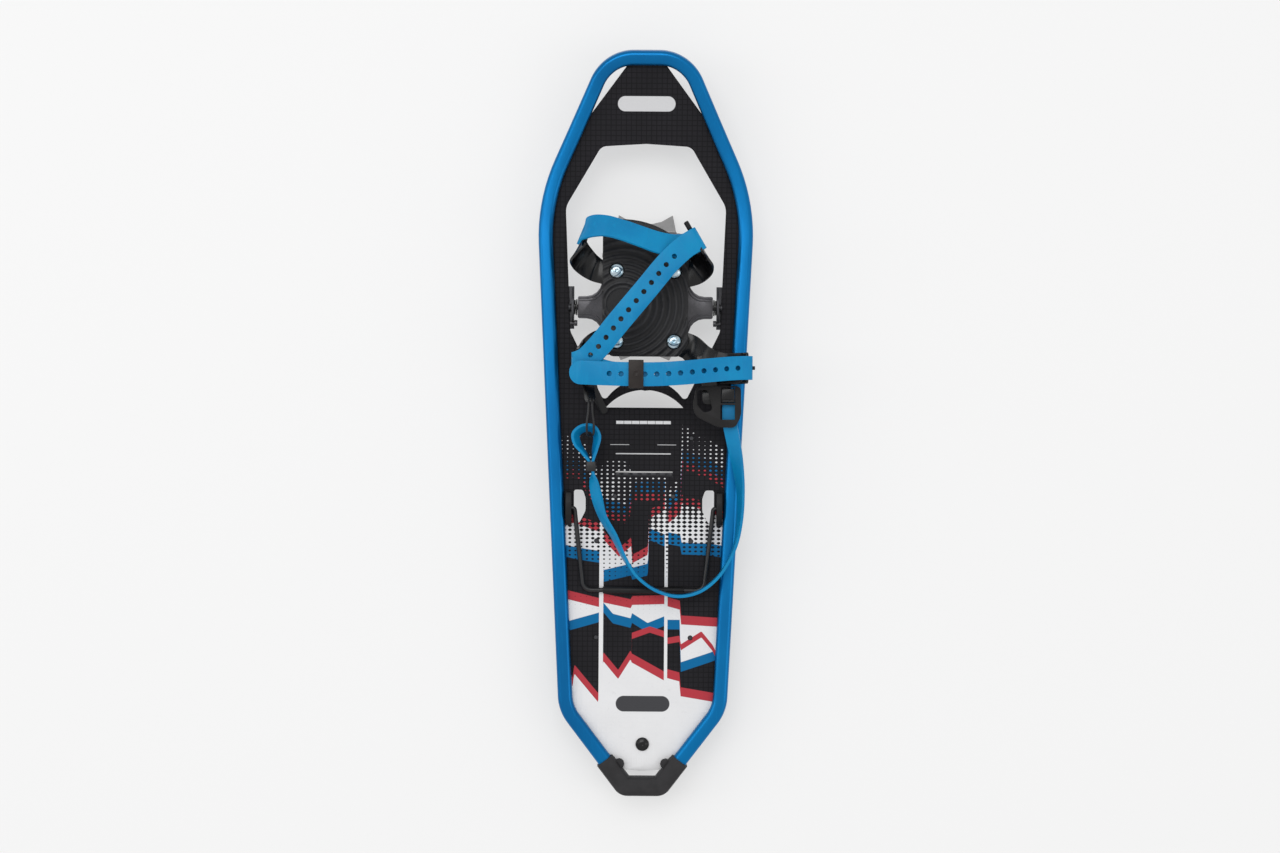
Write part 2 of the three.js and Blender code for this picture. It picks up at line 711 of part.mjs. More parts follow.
function instepArmLeft() {
  const rise = [
    [-30, 73, tabMiddle, 0, 1, 0],
    [-40, 72, tabMiddle + 0.5, 0, 1, 0],
    [-51, 61.5, 50, 0, 1, 0],
    [-57, 54.5, 64, 0, 1, 0],
    [-59, 52, 78, 0, 1, 0],
    [leftBar.at[0], leftBar.at[1], leftBar.at[2] + barHigh / 2, ...leftBar.side],
  ];
  const hookBand = [
    [-46, 68, 47, 1, 0, 0],
    [-50, 56, 50, 1, 0, 0],
    [-51, 42, 55, 1, 0, 0],
    [-49, 30, 61, 1, 0.1, 0],
    [-47.6, 19, 64, 1, 0.15, 0],
  ];
  const fork = [
    [-46, 62, 47, 1, 0.2, 0],
    [-48, 48, 48, 1, 0.3, 0],
    [-44, 28, 44, 1, 0.4, 0],
    [-35, 10, 39, 1, 0.5, 0],
  ];
  const bands = [{ guides: rise, width: 27 }, { guides: hookBand, width: 10 }, { guides: fork, width: 7 }];
  return arm(-1, boltYs[1], bands, [slotUnder(leftBar)]);
}

function instepArmRight() {
  const rise = [
    [30, 72, tabMiddle, 0, 1, 0],
    [40, 68.5, tabMiddle + 0.5, 0, 1, 0],
    [52, 57, 50, 0, 1, 0],
    [63, 51, 56.5, 0, 1, 0],
    [75, 49.5, 64.5, 0, 1, 0],
    [86, 49.5, 76, 0, 1, 0],
    [rightBar.at[0], rightBar.at[1], rightBar.at[2] + barHigh / 2, ...rightBar.side],
  ];
  const buckleBand = [
    [52, 62, 48.9, 1, 0, 0],
    [54, 51, 52, 1, 0, 0],
    [56, 41, 58, 1, 0, 0],
    [57, 31, 62.6, 1, 0, 0],
    [57, 18, 63.4, 1, 0, 0],
  ];
  const bands = [{ guides: rise, width: 27 }, { guides: buckleBand, width: 13 }];
  return arm(1, boltYs[1], bands, [slotUnder(rightBar)]);
}

// ---------- straps ----------
// The strap's turn round a bar, from one of its levels to the other.
function foldGuides({ at: [x, y, z], away, side }, upwards) {
  return [30, 60, 90, 120, 150].map((degrees) => {
    const angle = THREE.MathUtils.degToRad(degrees);
    const reach = Math.sin(angle) * foldRadius;
    const rise = Math.cos(angle) * foldRadius * (upwards ? -1 : 1);
    return [x + away[0] * reach, y + away[1] * reach, z + rise, ...side];
  });
}

// One strap zigzags from the left toe arm over the toe, back across the instep and over it twice.
function harnessStrap() {
  const toe = [
    [-56.8, 163.2, 74, 0.4, 0.92, 0],
    [-54.8, 166.3, 79.5, 0.4, 0.92, 0],
    [-52, 169.3, 85, 0.4, 0.92, 0],
    [-46, 171.2, 89.3, 0.33, 0.92, -0.2],
    [-35, 171.3, 91.5, 0.06, 0.88, -0.45],
    [-19.4, 167.4, 92, -0.24, 0.86, -0.45],
    [-3.9, 162.1, 91.5, -0.28, 0.88, -0.38],
    [12, 157, 89, -0.2, 0.93, -0.3],
    [27, 154.9, 84.5, -0.2, 0.96, -0.15],
    [37, 156.6, 82.4, -0.4, 0.92, 0],
  ];
  const across = [
    [35.5, 155, 90.4, -0.6, 0.8, 0],
    [20.5, 141, 94, -0.73, 0.68, 0],
    [0, 116, 98, -0.75, 0.66, 0],
    [-24, 87, 98.5, -0.75, 0.66, 0],
    [-41, 66, 95.5, -0.6, 0.8, 0],
    [-52, 55.5, 92.2, -0.2, 0.98, 0],
  ];
  const instepUnder = [
    [-53, 50.8, 84.6, 0, 1, 0],
    [-42, 47.3, 91, 0, 1, 0],
    [-30, 44, 97.6, 0, 1, 0],
    [-18, 43.2, 99.4, 0, 1, 0],
    [8, 43.2, 99.4, 0, 1, 0],
    [34, 45, 97, 0, 1, 0],
    [58, 47.5, 91, 0, 1, 0],
    [76, 49.2, 85, 0, 1, 0],
    [83, 49.5, 83.5, 0, 1, 0],
  ];
  const instepTop = [
    [82, 49.3, 91, 0, 1, 0],
    [72, 48.6, 93.4, 0, 1, 0],
    [54, 46.8, 98.2, 0, 1, 0],
    [33, 44.6, 101.6, 0, 1, 0],
    [8, 43.2, 102.6, 0, 1, 0],
    [-18, 43.2, 102.6, 0, 1, 0],
    [-34, 43.6, 100.6, 0, 1, 0],
    [-55, 44.4, 97, 0, 1, 0],
  ];
  const guides = [
    ...toe, ...foldGuides(toeBar, true), ...across, ...foldGuides(leftBar, false), ...instepUnder,
    ...foldGuides(rightBar, true), ...instepTop,
  ];
  const prongHole = crossRod(89.7, 97, rightBar.at[1], rightBar.at[2], 2.1, 12);
  return cut(toSolid(smoothRibbon(guides, strapWide, strapThick, 2, true)), prongHole);
}

function strapKeeper() {
  const outer = box(-14.2, -1.3, 31, 55.4, 96.4, 105.8);
  return cut(toSolid(outer), box(-20, 5, 32.2, 54.2, 97.5, 104.6));
}

function toePeg() {
  const rod = new THREE.CylinderGeometry(2.2, 2.2, 6, 12).translate(0, 3, 0);
  rod.rotateZ(Math.atan2(-toeBar.side[0], toeBar.side[1]));
  return rod.translate(36.5, 172.2, toeBar.at[2]);
}

const instepProng = () => crossRod(rightBar.at[0] + armThick / 2 + gap, 95.2, 49.5, rightBar.at[2], 1.7, 12);

// ---------- heel strap ----------
function heelBuckle() {
  const corners = [
    { x: 45, y: 34, r: 5 },
    { x: 84, y: 34, r: 4 },
    { x: 84.5, y: 8, r: 10 },
    { x: 79, y: -2.5, r: 6 },
    { x: 64, y: -2, r: 10 },
    { x: 41, y: 9, r: 12 },
  ];
  const eye = [
    { x: 45.5, y: 30.5, r: 3 },
    { x: 55, y: 30.5, r: 3 },
    { x: 59.5, y: 13, r: 3 },
    { x: 52, y: 10.5, r: 3 },
    { x: 46, y: 17, r: 3 },
  ];
  const window = box(66.3, 79, 4.7, 17.6, 0, 100);
  const recess = box(66.6, 79, 19.2, 33, 0, 100);
  return cut(toSolid(plate(shapeOf(corners, 20), 65.2, 5)), plate(shapeOf(eye, 25), 0, 100), window, recess);
}

const buckleLever = () => box(67.1, 78.5, 19.8, 31.9, 67.8, 71);

function heelStrap() {
  const edgeOn = [0, 0, 1];
  const loop = [
    [-48.3, -41, 54, 0, 0, 1],
    [-48.6, -33, 54, 0, 0, 1],
    [-53, -25.5, 54.5, -0.3, 0.1, 0.95],
    [-59, -17.5, 55, -0.42, 0.1, 0.9],
    [-60.5, -9, 55.5, -0.4, 0.2, 0.9],
    [-54, -3.6, 55.5, -0.15, 0.4, 0.9],
    [-45.6, -3.8, 55.5, 0.2, 0.35, 0.9],
    [-41.8, -11, 55.2, 0.42, 0.1, 0.9],
    [-43.6, -22, 54.5, 0.3, 0, 0.95],
    [-45.3, -33, 54, 0, 0, 1],
    [-45.2, -42, 54, 0, 0, 1],
  ];
  const twist = [
    [-44.4, -51, 53.6, 0.5, 0.05, 0.86],
    [-42, -63, 53, 0.68, 0.1, 0.72],
    [-36.5, -81.6, 51.5, 0.42, 0.2, 0.88],
    [-26.5, -98.5, 50.5, 0.3, 0.2, 0.93],
    [-16.5, -119, 50, 0.15, 0.1, 0.98],
  ];
  const run = [
    [-6, -134, 50], [10, -146, 50], [29.7, -151.5, 50], [49, -147.6, 50], [64, -136.5, 50], [74, -122.5, 50.5],
  ].map((point) => [...point, ...edgeOn]);
  const rise = [
    [81, -106, 51.5, 0.1, 0.03, 0.99],
    [84.5, -84, 54, 0.25, 0.05, 0.96],
    [85, -60, 57, 0.36, 0.06, 0.93],
    [82.5, -38, 60, 0.62, 0.08, 0.78],
    [78, -14, 62.5, 0.93, 0.05, 0.36],
    [74.5, 4, 63.2, 1, 0, 0],
    [74.5, 24, 63.2, 1, 0, 0],
  ];
  return smoothRibbon([...loop, ...twist, ...run, ...rise], heelStrapWide, heelStrapThick, 2);
}

function strapFerrule() {
  const outer = toSolid(box(-50.9, -42.7, -41.5, -33, 46.6, 61.4));
  return cut(outer, box(-50.1, -43.5, -50, -20, 47.4, 60.6));
}

// The wire hook at the end of the left arm: its legs pass over the loop's edge and dip inside it.
function heelHook() {
  const middle = -47.6;
  const half = [[2.4, 17, 66.6], [3, 10, 66.8], [4.6, 3, 66.4], [5, -3, 65.4], [4.4, -8.6, 62], [2.4, -10.2, 59]];
  const right = half.map(([x, y, z]) => vec(middle + x * 0.62, y, z));
  const left = half.map(([x, y, z]) => vec(middle - x * 0.62, y, z)).reverse();
  return wire([...right, vec(middle, -10.6, 58), ...left], 1);
}

// ---------- heel lift ----------
function bailBracket(side) {
  const corners = [
    { x: -60, y: deckTop + gap }, { x: -60, y: 42, r: 2 }, { x: bailY + 5, y: 44.6, r: 4 },
    { x: bailY - 6, y: 44.6, r: 4 }, { x: -90, y: 39, r: 2 }, { x: -90, y: deckTop + gap },
  ];
  const block = toSolid(alongPlate(shapeOf(corners, 25), side > 0 ? 64.5 : -69.6, 5.1));
  return cut(block, crossRod(side * 60, side * 75, bailY, bailZ, bailRadius + 0.4));
}

function heelLiftBail() {
  const barY = bailY - bailReach;
  const right = [
    { x: 68.6, y: bailY }, { x: 61.8, y: bailY, r: 2.6 }, { x: 53.5, y: barY, r: 8 },
  ];
  const points = roundedRun([...right, ...mirrored(right)], false, 20);
  return wire(points.map(({ x, y }) => vec(x, y, bailZ)), bailRadius, 10);
}

function heelLiftBar() {
  const barY = bailY - bailReach;
  return cut(toSolid(crossRod(-36, 36, barY, bailZ, 3.1)), crossRod(-40, 40, barY, bailZ, bailRadius + gap));
}

// ---------- assembly ----------
add('frame_tube', 'tube', frameTube());
add('tail_cap', 'plastic', tailCap());
add('deck', 'deck', deck());
add('tail_button', 'gloss', tailButton());
add('heel_cleat', 'steel', heelCleat());
rivetPlaces().forEach(({ name, x, y }) => add(name, 'steel', rivet(x, y)));
[['left', -1], ['right', 1]].forEach(([word, side]) => {
  add(`traction_rail_${word}`, 'steel', rail(side));
  add(`pivot_bracket_${word}`, 'steel', pivotBracket(side));
  add(`pivot_bush_${word}`, 'gloss', pivotBush(side));
  add(`rotation_stop_${word}`, 'steel', rotationStop(side));
  add(`pivot_pin_${word}`, 'steel', pivotPin(side));
  add(`pivot_washer_${word}`, 'gloss', pivotWasher(side));
  add(`bail_bracket_${word}`, 'plastic', bailBracket(side));
});
add('carriage', 'cast', carriage());
add('footbed', 'plastic', footbed());
add('toe_crampon', 'steel', toeCrampon());
boltPlaces.forEach((place, i) => {
  add(`binding_bolt_${i + 1}`, 'zinc', bolt(place));
  add(`binding_nut_${i + 1}`, 'zinc', nut(place));
});
add('toe_arm_left', 'gloss', toeArmLeft());
add('toe_arm_right', 'gloss', toeArmRight());
add('instep_arm_left', 'gloss', instepArmLeft());
add('instep_arm_right', 'gloss', instepArmRight());
add('harness_strap', 'strap', harnessStrap());
add('strap_keeper', 'plastic', strapKeeper());
add('toe_peg', 'plastic', toePeg());
add('instep_prong', 'plastic', instepProng());
add('heel_buckle', 'plastic', heelBuckle());
add('heel_buckle_lever', 'plastic', buckleLever());
add('heel_strap', 'strap', heelStrap());
add('strap_ferrule', 'blackWire', strapFerrule());
add('heel_hook', 'blackWire', heelHook());
add('heel_lift_bail', 'blackWire', heelLiftBail());
add('heel_lift_bar', 'plastic', heelLiftBar());

export default snowshoe;
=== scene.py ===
"""A backcountry snowshoe seen from straight above: the looks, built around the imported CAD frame.

+X to the right, +Y towards the nose, +Z up, ground at z = 0. Blender works in metres; the lengths
here are millimetres unless a comment says otherwise, and MM turns them into metres.
"""

import math

import bmesh
import bpy
from mathutils import Matrix, Vector


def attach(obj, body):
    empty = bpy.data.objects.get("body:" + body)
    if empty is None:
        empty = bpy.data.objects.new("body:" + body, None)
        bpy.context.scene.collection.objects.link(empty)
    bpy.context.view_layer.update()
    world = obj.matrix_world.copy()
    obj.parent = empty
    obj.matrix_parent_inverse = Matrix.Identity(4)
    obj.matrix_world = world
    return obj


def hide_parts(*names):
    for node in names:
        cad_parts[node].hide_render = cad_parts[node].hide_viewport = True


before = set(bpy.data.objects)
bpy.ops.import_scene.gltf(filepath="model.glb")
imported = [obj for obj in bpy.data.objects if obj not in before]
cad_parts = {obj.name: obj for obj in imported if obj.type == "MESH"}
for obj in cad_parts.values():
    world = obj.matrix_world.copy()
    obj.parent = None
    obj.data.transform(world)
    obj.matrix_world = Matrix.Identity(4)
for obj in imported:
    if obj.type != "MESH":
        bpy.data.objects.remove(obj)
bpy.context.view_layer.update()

MM = 0.001
UP = Vector((0, 0, 1))

# ---------- driving dimensions, as in the CAD ----------
NOSE_Y = 329.8
TAIL_Y = -328.7
TUBE_WIDE = 13.0
TUBE_TALL = 15.0
DECK_Z = 34.0
DECK_THICK = 1.6
CURL_START = 170.0
CURL_LIFT = 24.0
PIVOT_Y = 104.0
BUTTON_Y = -285
BAIL_Y = -74.5
BAIL_Z = 38.4
BAIL_REACH = 73.0
STRAP_WIDE = 20.5
STRAP_THICK = 2.2
FOLD_RADIUS = 3.6
HEEL_STRAP_WIDE = 12.4
HEEL_STRAP_THICK = 2.4
DECK_TOP = DECK_Z + DECK_THICK / 2
DECK_HOLE = 2.3
ARM_THICK = 2.1
TAB = 42.5          # height of the arms' feet, under the footbed
BAR_HALF = 1.6      # half the height of the bars that the harness strap folds round
TOE_BAR = (43.5, 160, 86)
LEFT_BAR = (-59, 52, 88)
RIGHT_BAR = (88.5, 49.5, 87)
TOE_AWAY = (0.86, 0.5)
TOE_SIDE = (-0.5, 0.86, 0)

# The footbed, with rings round the middle of a plain lipped disc, and its four bolts.
FOOTBED_TOP = 48.1
FOOTBED_RIM = 47.95
FOOTBED_BOTTOM = 44.2
RING_X, RING_Y = -20, 106.6
RING_START = 19.0
RING_PITCH = 5.7
LIP_RADIUS = 15.2
BOLT_X = 25.5
BOLT_FRONT, BOLT_REAR = 136, 73.5

# Right half of the frame's outer edge: (x, y, bend radius), nose to tail.
FRAME_EDGE = [
    (0, NOSE_Y, 0), (38.6, NOSE_Y, 42), (97.3, 199.6, 165), (74.9, -255.4, 42), (19, TAIL_Y, 12),
    (0, TAIL_Y, 0),
]


# ---------- outlines ----------
def rounded_run(corners, closed=False, step=5.0):
    """Points along corners (x, y, r), with an arc at each corner that has a radius."""
    points = []
    count = len(corners)
    for i, (x, y, r) in enumerate(corners):
        here = Vector((x, y))
        first_or_last = not closed and i in (0, count - 1)
        if first_or_last or not r:
            points.append(here)
            continue
        before = Vector(corners[i - 1][:2])
        after = Vector(corners[(i + 1) % count][:2])
        into = (here - before).normalized()
        out = (after - here).normalized()
        turn = math.atan2(into.x * out.y - into.y * out.x, into.dot(out))
        start = here - into * (r * math.tan(abs(turn) / 2))
        centre = start + Vector((-into.y, into.x)) * math.copysign(r, turn)
        steps = max(1, round(abs(math.degrees(turn)) / step))
        for k in range(steps + 1):
            arm = start - centre
            arm.rotate(Matrix.Rotation(turn * k / steps, 2))
            points.append(centre + arm)
    return points


def inset_edge(distance):
    """The frame's outer edge moved inwards: corners (x, y, r) of the right half."""
    def inward(a, b):
        return Vector((b[1] - a[1], a[0] - b[0])).normalized()
    result = []
    last = len(FRAME_EDGE) - 1
    for i, (x, y, r) in enumerate(FRAME_EDGE):
        first = inward(FRAME_EDGE[max(i - 1, 0)], FRAME_EDGE[max(i, 1)])
        second = inward(FRAME_EDGE[min(i, last - 1)], FRAME_EDGE[min(i + 1, last)])
        move = (first + second) * (distance / (1 + first.dot(second)))
        result.append((x + move.x, y + move.y, max(r - distance, 2) if r else 0))
    return result


def mirrored(corners):
    return [(-x, y, r) for x, y, r in reversed(corners)]


def both_halves(half):
    return half + mirrored(half[1:-1])


def arch_points(width, low, high, steps=14):
    """An arc over the middle line from (width, low) to (0, high), without its first point."""
    rise = high - low
    radius = (width * width + rise * rise) / (2 * rise)
    start = math.asin((radius - rise) / radius)
    result = []
    for i in range(1, steps + 1):
        angle = start + (math.pi / 2 - start) * i / steps
        result.append((radius * math.cos(angle), high - radius + radius * math.sin(angle), 0))
    return result


def along_curl(y):
    return max(0.0, (y - CURL_START) / (NOSE_Y - CURL_START))


def curl_at(y):
    return CURL_LIFT * along_curl(y) * along_curl(y)


def deck_normal(y):
    slope = 2 * CURL_LIFT * along_curl(y) / (NOSE_Y - CURL_START)
    return Vector((0, -slope, 1)).normalized()


# ---------- mesh helpers ----------
def add_to_scene(obj):
    bpy.context.scene.collection.objects.link(obj)
    return obj


def sharp_by_angle(obj, degrees):
    bm = bmesh.new()
    bm.from_mesh(obj.data)
    for edge in bm.edges:
        edge.smooth = edge.calc_face_angle(math.pi) < math.radians(degrees)
    for face in bm.faces:
        face.smooth = True
    bm.to_mesh(obj.data)
    bm.free()


def new_object(name, bm, sharp_angle=180):
    """An object from a bmesh, shaded smooth but for the edges that turn by more than an angle."""
    mesh = bpy.data.meshes.new(name)
    bm.to_mesh(mesh)
    bm.free()
    obj = add_to_scene(bpy.data.objects.new(name, mesh))
    sharp_by_angle(obj, sharp_angle)
    return obj


def applied_mesh(obj):
    return bpy.data.meshes.new_from_object(obj.evaluated_get(bpy.context.evaluated_depsgraph_get()))


def round_edges(obj, width, segments, from_angle, sharp_angle):
    """Rounds the edges that turn by more than from_angle, and applies all the modifiers."""
    modifier = obj.modifiers.new("bevel", "BEVEL")
    modifier.width = width * MM
    modifier.segments = segments
    modifier.limit_method = "ANGLE"
    modifier.angle_limit = math.radians(from_angle)
    mesh = applied_mesh(obj)
    obj.modifiers.clear()
    obj.data = mesh
    sharp_by_angle(obj, sharp_angle)


def finish_piece(obj, finish, body, *nodes):
    """Gives a piece its finish's material and its body, and hides the CAD nodes that it replaces; the finish's
    slot is not used.
    """
    material, slot = finish
    obj.data.materials.clear()
    obj.data.materials.append(material)
    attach(obj, body)
    if nodes:
        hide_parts(*nodes)


def bevelled(node, finish, body, width, segments):
    """A finely edged version of a CAD solid: coplanar facets joined, edges rounded."""
    bm = bmesh.new()
    bm.from_mesh(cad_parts[node].data)
    bmesh.ops.remove_doubles(bm, verts=bm.verts, dist=2e-6)
    bmesh.ops.dissolve_limit(bm, angle_limit=math.radians(1), verts=bm.verts, edges=bm.edges)
    obj = new_object(node + "_fine", bm)
    round_edges(obj, width, segments, 30, 40)
    finish_piece(obj, finish, body, node)


def sweep_mesh(bm, stations, ring):
    """Skins a ring of (side, up) points along stations (at, side, up), with closed ends."""
    rows = [[bm.verts.new((at + side * u + up * v) * MM) for u, v in ring] for at, side, up in stations]
    for first, second in zip(rows, rows[1:]):
        for k in range(len(ring)):
            n = (k + 1) % len(ring)
            bm.faces.new((first[k], first[n], second[n], second[k]))
    bm.faces.new(rows[0][::-1])
    bm.faces.new(rows[-1])
    bmesh.ops.recalc_face_normals(bm, faces=bm.faces)


def rounded_box_ring(half_wide, half_tall, radius, steps):
    ring = []
    for cx, cy, start in ((1, 1, 0), (-1, 1, 90), (-1, -1, 180), (1, -1, 270)):
        for k in range(steps + 1):
            angle = math.radians(start + 90 * k / steps)
            ring.append((cx * (half_wide - radius) + radius * math.cos(angle),
                         cy * (half_tall - radius) + radius * math.sin(angle)))
    return ring


def tangents(points):
    last = len(points) - 1
    return [(points[min(i + 1, last)] - points[max(i - 1, 0)]).normalized() for i in range(last + 1)]


def catmull(values, per_span):
    """Points on a centripetal Catmull-Rom curve through vectors, the curve that the CAD's ribbons follow."""
    result = []
    count = len(values)
    for i in range(count - 1):
        p1, p2 = values[i], values[i + 1]
        p0 = values[i - 1] if i else p1 * 2 - p2
        p3 = values[i + 2] if i + 2 < count else p2 * 2 - p1
        d1 = max((p2 - p1).length, 1e-8) ** 0.5
        d0 = (p1 - p0).length ** 0.5
        d2 = (p3 - p2).length ** 0.5
        d0 = d0 if d0 > 1e-4 else d1
        d2 = d2 if d2 > 1e-4 else d1
        out = ((p1 - p0) / d0 - (p2 - p0) / (d0 + d1) + (p2 - p1) / d1) * d1
        into = ((p2 - p1) / d1 - (p3 - p1) / (d1 + d2) + (p3 - p2) / d2) * d1
        square = (p2 - p1) * 3 - out * 2 - into
        cube = (p1 - p2) * 2 + out + into
        for k in range(per_span):
            t = k / per_span
            result.append(p1 + out * t + square * t * t + cube * t * t * t)
    result.append(values[-1].copy())
    return result


def turned(side, *points):
    """Route guides through points that share one sideways direction."""
    return [(*point, *side) for point in points]


PER_SPAN = 14


def route(guides):
    """Stations (point, side, up, distance) along guides (x, y, z, side x, side y, side z)."""
    points = catmull([Vector(g[:3]) for g in guides], PER_SPAN)
    sides = [side.normalized() for side in catmull([Vector(g[3:]) for g in guides], PER_SPAN)]
    along = tangents(points)
    result = []
    distance = 0.0
    for i, at in enumerate(points):
        if i:
            distance += (at - points[i - 1]).length
        side = (sides[i] - along[i] * sides[i].dot(along[i])).normalized()
        result.append((at, side, along[i].cross(side).normalized(), distance))
    return result


def on_route(stations, distance):
    """The point and side at a distance along a route; past its end it runs straight on."""
    low, high = 0, len(stations) - 1
    while high - low > 1:
        middle = (low + high) // 2
        if stations[middle][3] <= distance:
            low = middle
        else:
            high = middle
    a, b = stations[low], stations[high]
    share = (distance - a[3]) / (b[3] - a[3])
    return a[0].lerp(b[0], share), a[1].lerp(b[1], share).normalized()


def circle(x, y, radius, count=20):
    return [(x + radius * math.cos(2 * math.pi * k / count), y + radius * math.sin(2 * math.pi * k / count))
            for k in range(count)]


def oval(x, y, half_wide, half_long, radius):
    corners = [(x + i * half_wide, y + j * half_long, radius) for i, j in ((1, -1), (1, 1), (-1, 1), (-1, -1))]
    return rounded_run(corners, True, 18)


def wire_piece(name, points, radius, corners=16):
    """A round wire along points, with rounded ends."""
    along = tangents(points)
    stations = []
    for at, way in zip(points, along):
        side = way.cross(Vector((0.01, 0.02, 1))).normalized()
        stations.append((at, side, way.cross(side).normalized()))

    def cap(end, way, steps):
        at, side, up = end
        return [(at + way * radius * out, side * narrower, up * narrower) for out, narrower in steps]

    shape = [(0.35, 0.72), (0.2, 0.9)]
    stations = (cap(stations[0], -along[0], shape) + stations
                + cap(stations[-1], along[-1], shape[::-1]))
    bm = bmesh.new()
    sweep_mesh(bm, stations, circle(0, 0, radius, corners))
    return new_object(name, bm, 50)


def lathe_piece(name, outline, centre, axis="Z", segments=48):
    """A turned piece: outline (radius, height), which starts and ends on the axis through the centre."""
    bm = bmesh.new()
    rings = []
    for radius, height in outline:
        corners = circle(0, 0, radius, segments) if radius else [(0, 0)]
        rings.append([bm.verts.new((x * MM, y * MM, height * MM)) for x, y in corners])
    for low, high in zip(rings, rings[1:]):
        for k in range(segments):
            n = (k + 1) % segments
            if len(low) == 1:
                bm.faces.new((low[0], high[n], high[k]))
            elif len(high) == 1:
                bm.faces.new((low[k], low[n], high[0]))
            else:
                bm.faces.new((low[k], low[n], high[n], high[k]))
    if axis == "X":
        bmesh.ops.rotate(bm, verts=bm.verts, matrix=Matrix.Rotation(math.pi / 2, 3, "Y"))
    bmesh.ops.translate(bm, verts=bm.verts, vec=Vector(centre) * MM)
    bmesh.ops.recalc_face_normals(bm, faces=bm.faces)
    return new_object(name, bm, 38)


def filled_outline(outlines, cell_x, cell_y):
    """A flat triangulated sheet inside the first outline and outside the others, cut into cells."""
    curve = bpy.data.curves.new("outline", "CURVE")
    curve.dimensions = "2D"
    curve.fill_mode = "BOTH"
    for points in outlines:
        spline = curve.splines.new("POLY")
        spline.points.add(len(points) - 1)
        for target, point in zip(spline.points, points):
            target.co = (point[0] * MM, point[1] * MM, 0, 1)
        spline.use_cyclic_u = True
    holder = add_to_scene(bpy.data.objects.new("outline", curve))
    mesh = applied_mesh(holder)
    bpy.data.objects.remove(holder)
    bpy.data.curves.remove(curve)
    bm = bmesh.new()
    bm.from_mesh(mesh)
    bpy.data.meshes.remove(mesh)
    bmesh.ops.remove_doubles(bm, verts=bm.verts, dist=1e-7)
    for axis, cell in enumerate((cell_x, cell_y)):
        values = [point[axis] for point in outlines[0]]
        cuts = int((max(values) - min(values)) / cell) if cell else 0
        normal = Vector((1 - axis, axis, 0))
        for k in range(1, cuts + 1):
            bmesh.ops.bisect_plane(bm, geom=bm.verts[:] + bm.edges[:] + bm.faces[:], dist=1e-8,
                                   plane_co=normal * ((min(values) + k * cell) * MM), plane_no=normal)
    for face in bm.faces:
        if face.normal.z < 0:
            face.normal_flip()
    return bm


def thicken(obj, thickness, bevel):
    """Gives a sheet a thickness, half to each side of it, and rounds its edges."""
    modifier = obj.modifiers.new("solid", "SOLIDIFY")
    modifier.thickness = thickness * MM
    modifier.offset = 0
    round_edges(obj, bevel, 2, 50, 45)


# ---------- node helpers ----------
class Nodes:
    """Builds a Principled material with short calls."""

    def __init__(self, name):
        self.material = bpy.data.materials.new(name)
        self.material.use_nodes = True
        self.tree = self.material.node_tree
        self.shader = self.tree.nodes["Principled BSDF"]
        self.coordinates = self.add("TexCoord").outputs
        self.texture = self.coordinates["Object"]

    def link(self, source, target):
        """Sets a socket to a number or a tuple, or links another node's output to it."""
        if isinstance(source, (int, float)):
            target.default_value = source
        elif isinstance(source, tuple):
            target.default_value = (*source, 1)[:len(target.default_value)]
        else:
            self.tree.links.new(source, target)

    def add(self, kind, inputs=(), **settings):
        node = self.tree.nodes.new("ShaderNode" + kind)
        for key, value in settings.items():
            setattr(node, key, value)
        for key, value in dict(inputs).items():
            self.link(value, node.inputs[key])
        return node

    def math(self, operation, *values):
        return self.add("Math", enumerate(values), operation=operation).outputs[0]

    def times(self, a, b):
        return self.math("MULTIPLY", a, b)

    def plus(self, a, b):
        return self.math("ADD", a, b)

    def minus(self, a, b):
        return self.math("SUBTRACT", a, b)

    def apart(self, a, b):
        return self.math("ABSOLUTE", self.minus(a, b))

    def hypotenuse(self, a, b):
        return self.math("SQRT", self.plus(self.times(a, a), self.times(b, b)))

    def mix(self, factor, a, b):
        return self.add("Mix", {0: factor, 6: a, 7: b}, data_type="RGBA").outputs[2]

    def scaled(self, *scale):
        return self.add("Mapping", {0: self.texture, "Scale": scale}).outputs[0]

    def noise(self, scale, detail=3.0, roughness=0.5, source=None):
        inputs = {"Vector": source or self.texture, "Scale": scale, "Detail": detail, "Roughness": roughness}
        return self.add("TexNoise", inputs).outputs["Fac"]

    def ramp(self, value, low, high, to_low=0.0, to_high=1.0):
        inputs = enumerate((value, low, high, to_low, to_high))
        return self.add("MapRange", inputs, clamp=True).outputs[0]

    def axes(self, source=None):
        return self.add("SeparateXYZ", {0: source or self.texture}).outputs

    def bump(self, height, strength, distance, normal=None):
        inputs = {"Strength": strength, "Distance": distance, "Height": height}
        if normal:
            inputs["Normal"] = normal
        return self.add("Bump", inputs).outputs[0]

    def surface(self, color, roughness, normal=None, **fixed):
        self.link(color, self.shader.inputs["Base Color"])
        self.link(roughness, self.shader.inputs["Roughness"])
        if normal:
            self.link(normal, self.shader.inputs["Normal"])
        for key, value in fixed.items():
            self.shader.inputs[key.replace("_", " ")].default_value = value
        return self.material


# ---------- materials ----------
def anodised_blue():
    n = Nodes("anodised_blue")
    streaks = n.noise(1, 4, 0.6, n.scaled(1500, 60, 1500))
    cloud = n.noise(9, 3)
    fine = n.noise(5200, 2)
    tone = n.mix(n.ramp(cloud, 0.3, 0.7), (0, 0.122, 0.335), (0, 0.17, 0.43))
    color = n.mix(n.times(n.ramp(streaks, 0.55, 0.8), 0.22), tone, (0, 0.27, 0.56))
    roughness = n.plus(n.ramp(streaks, 0.2, 0.8, 0.27, 0.36), n.ramp(cloud, 0.3, 0.7, 0, 0.05))
    normal = n.bump(fine, 0.05, 0.0001, n.bump(streaks, 0.06, 0.0002))
    return n.surface(color, roughness, normal, Metallic=0.85, Coat_Weight=0.05, Coat_Roughness=0.2)


def shade(tone, by):
    return tuple(value * by for value in tone)


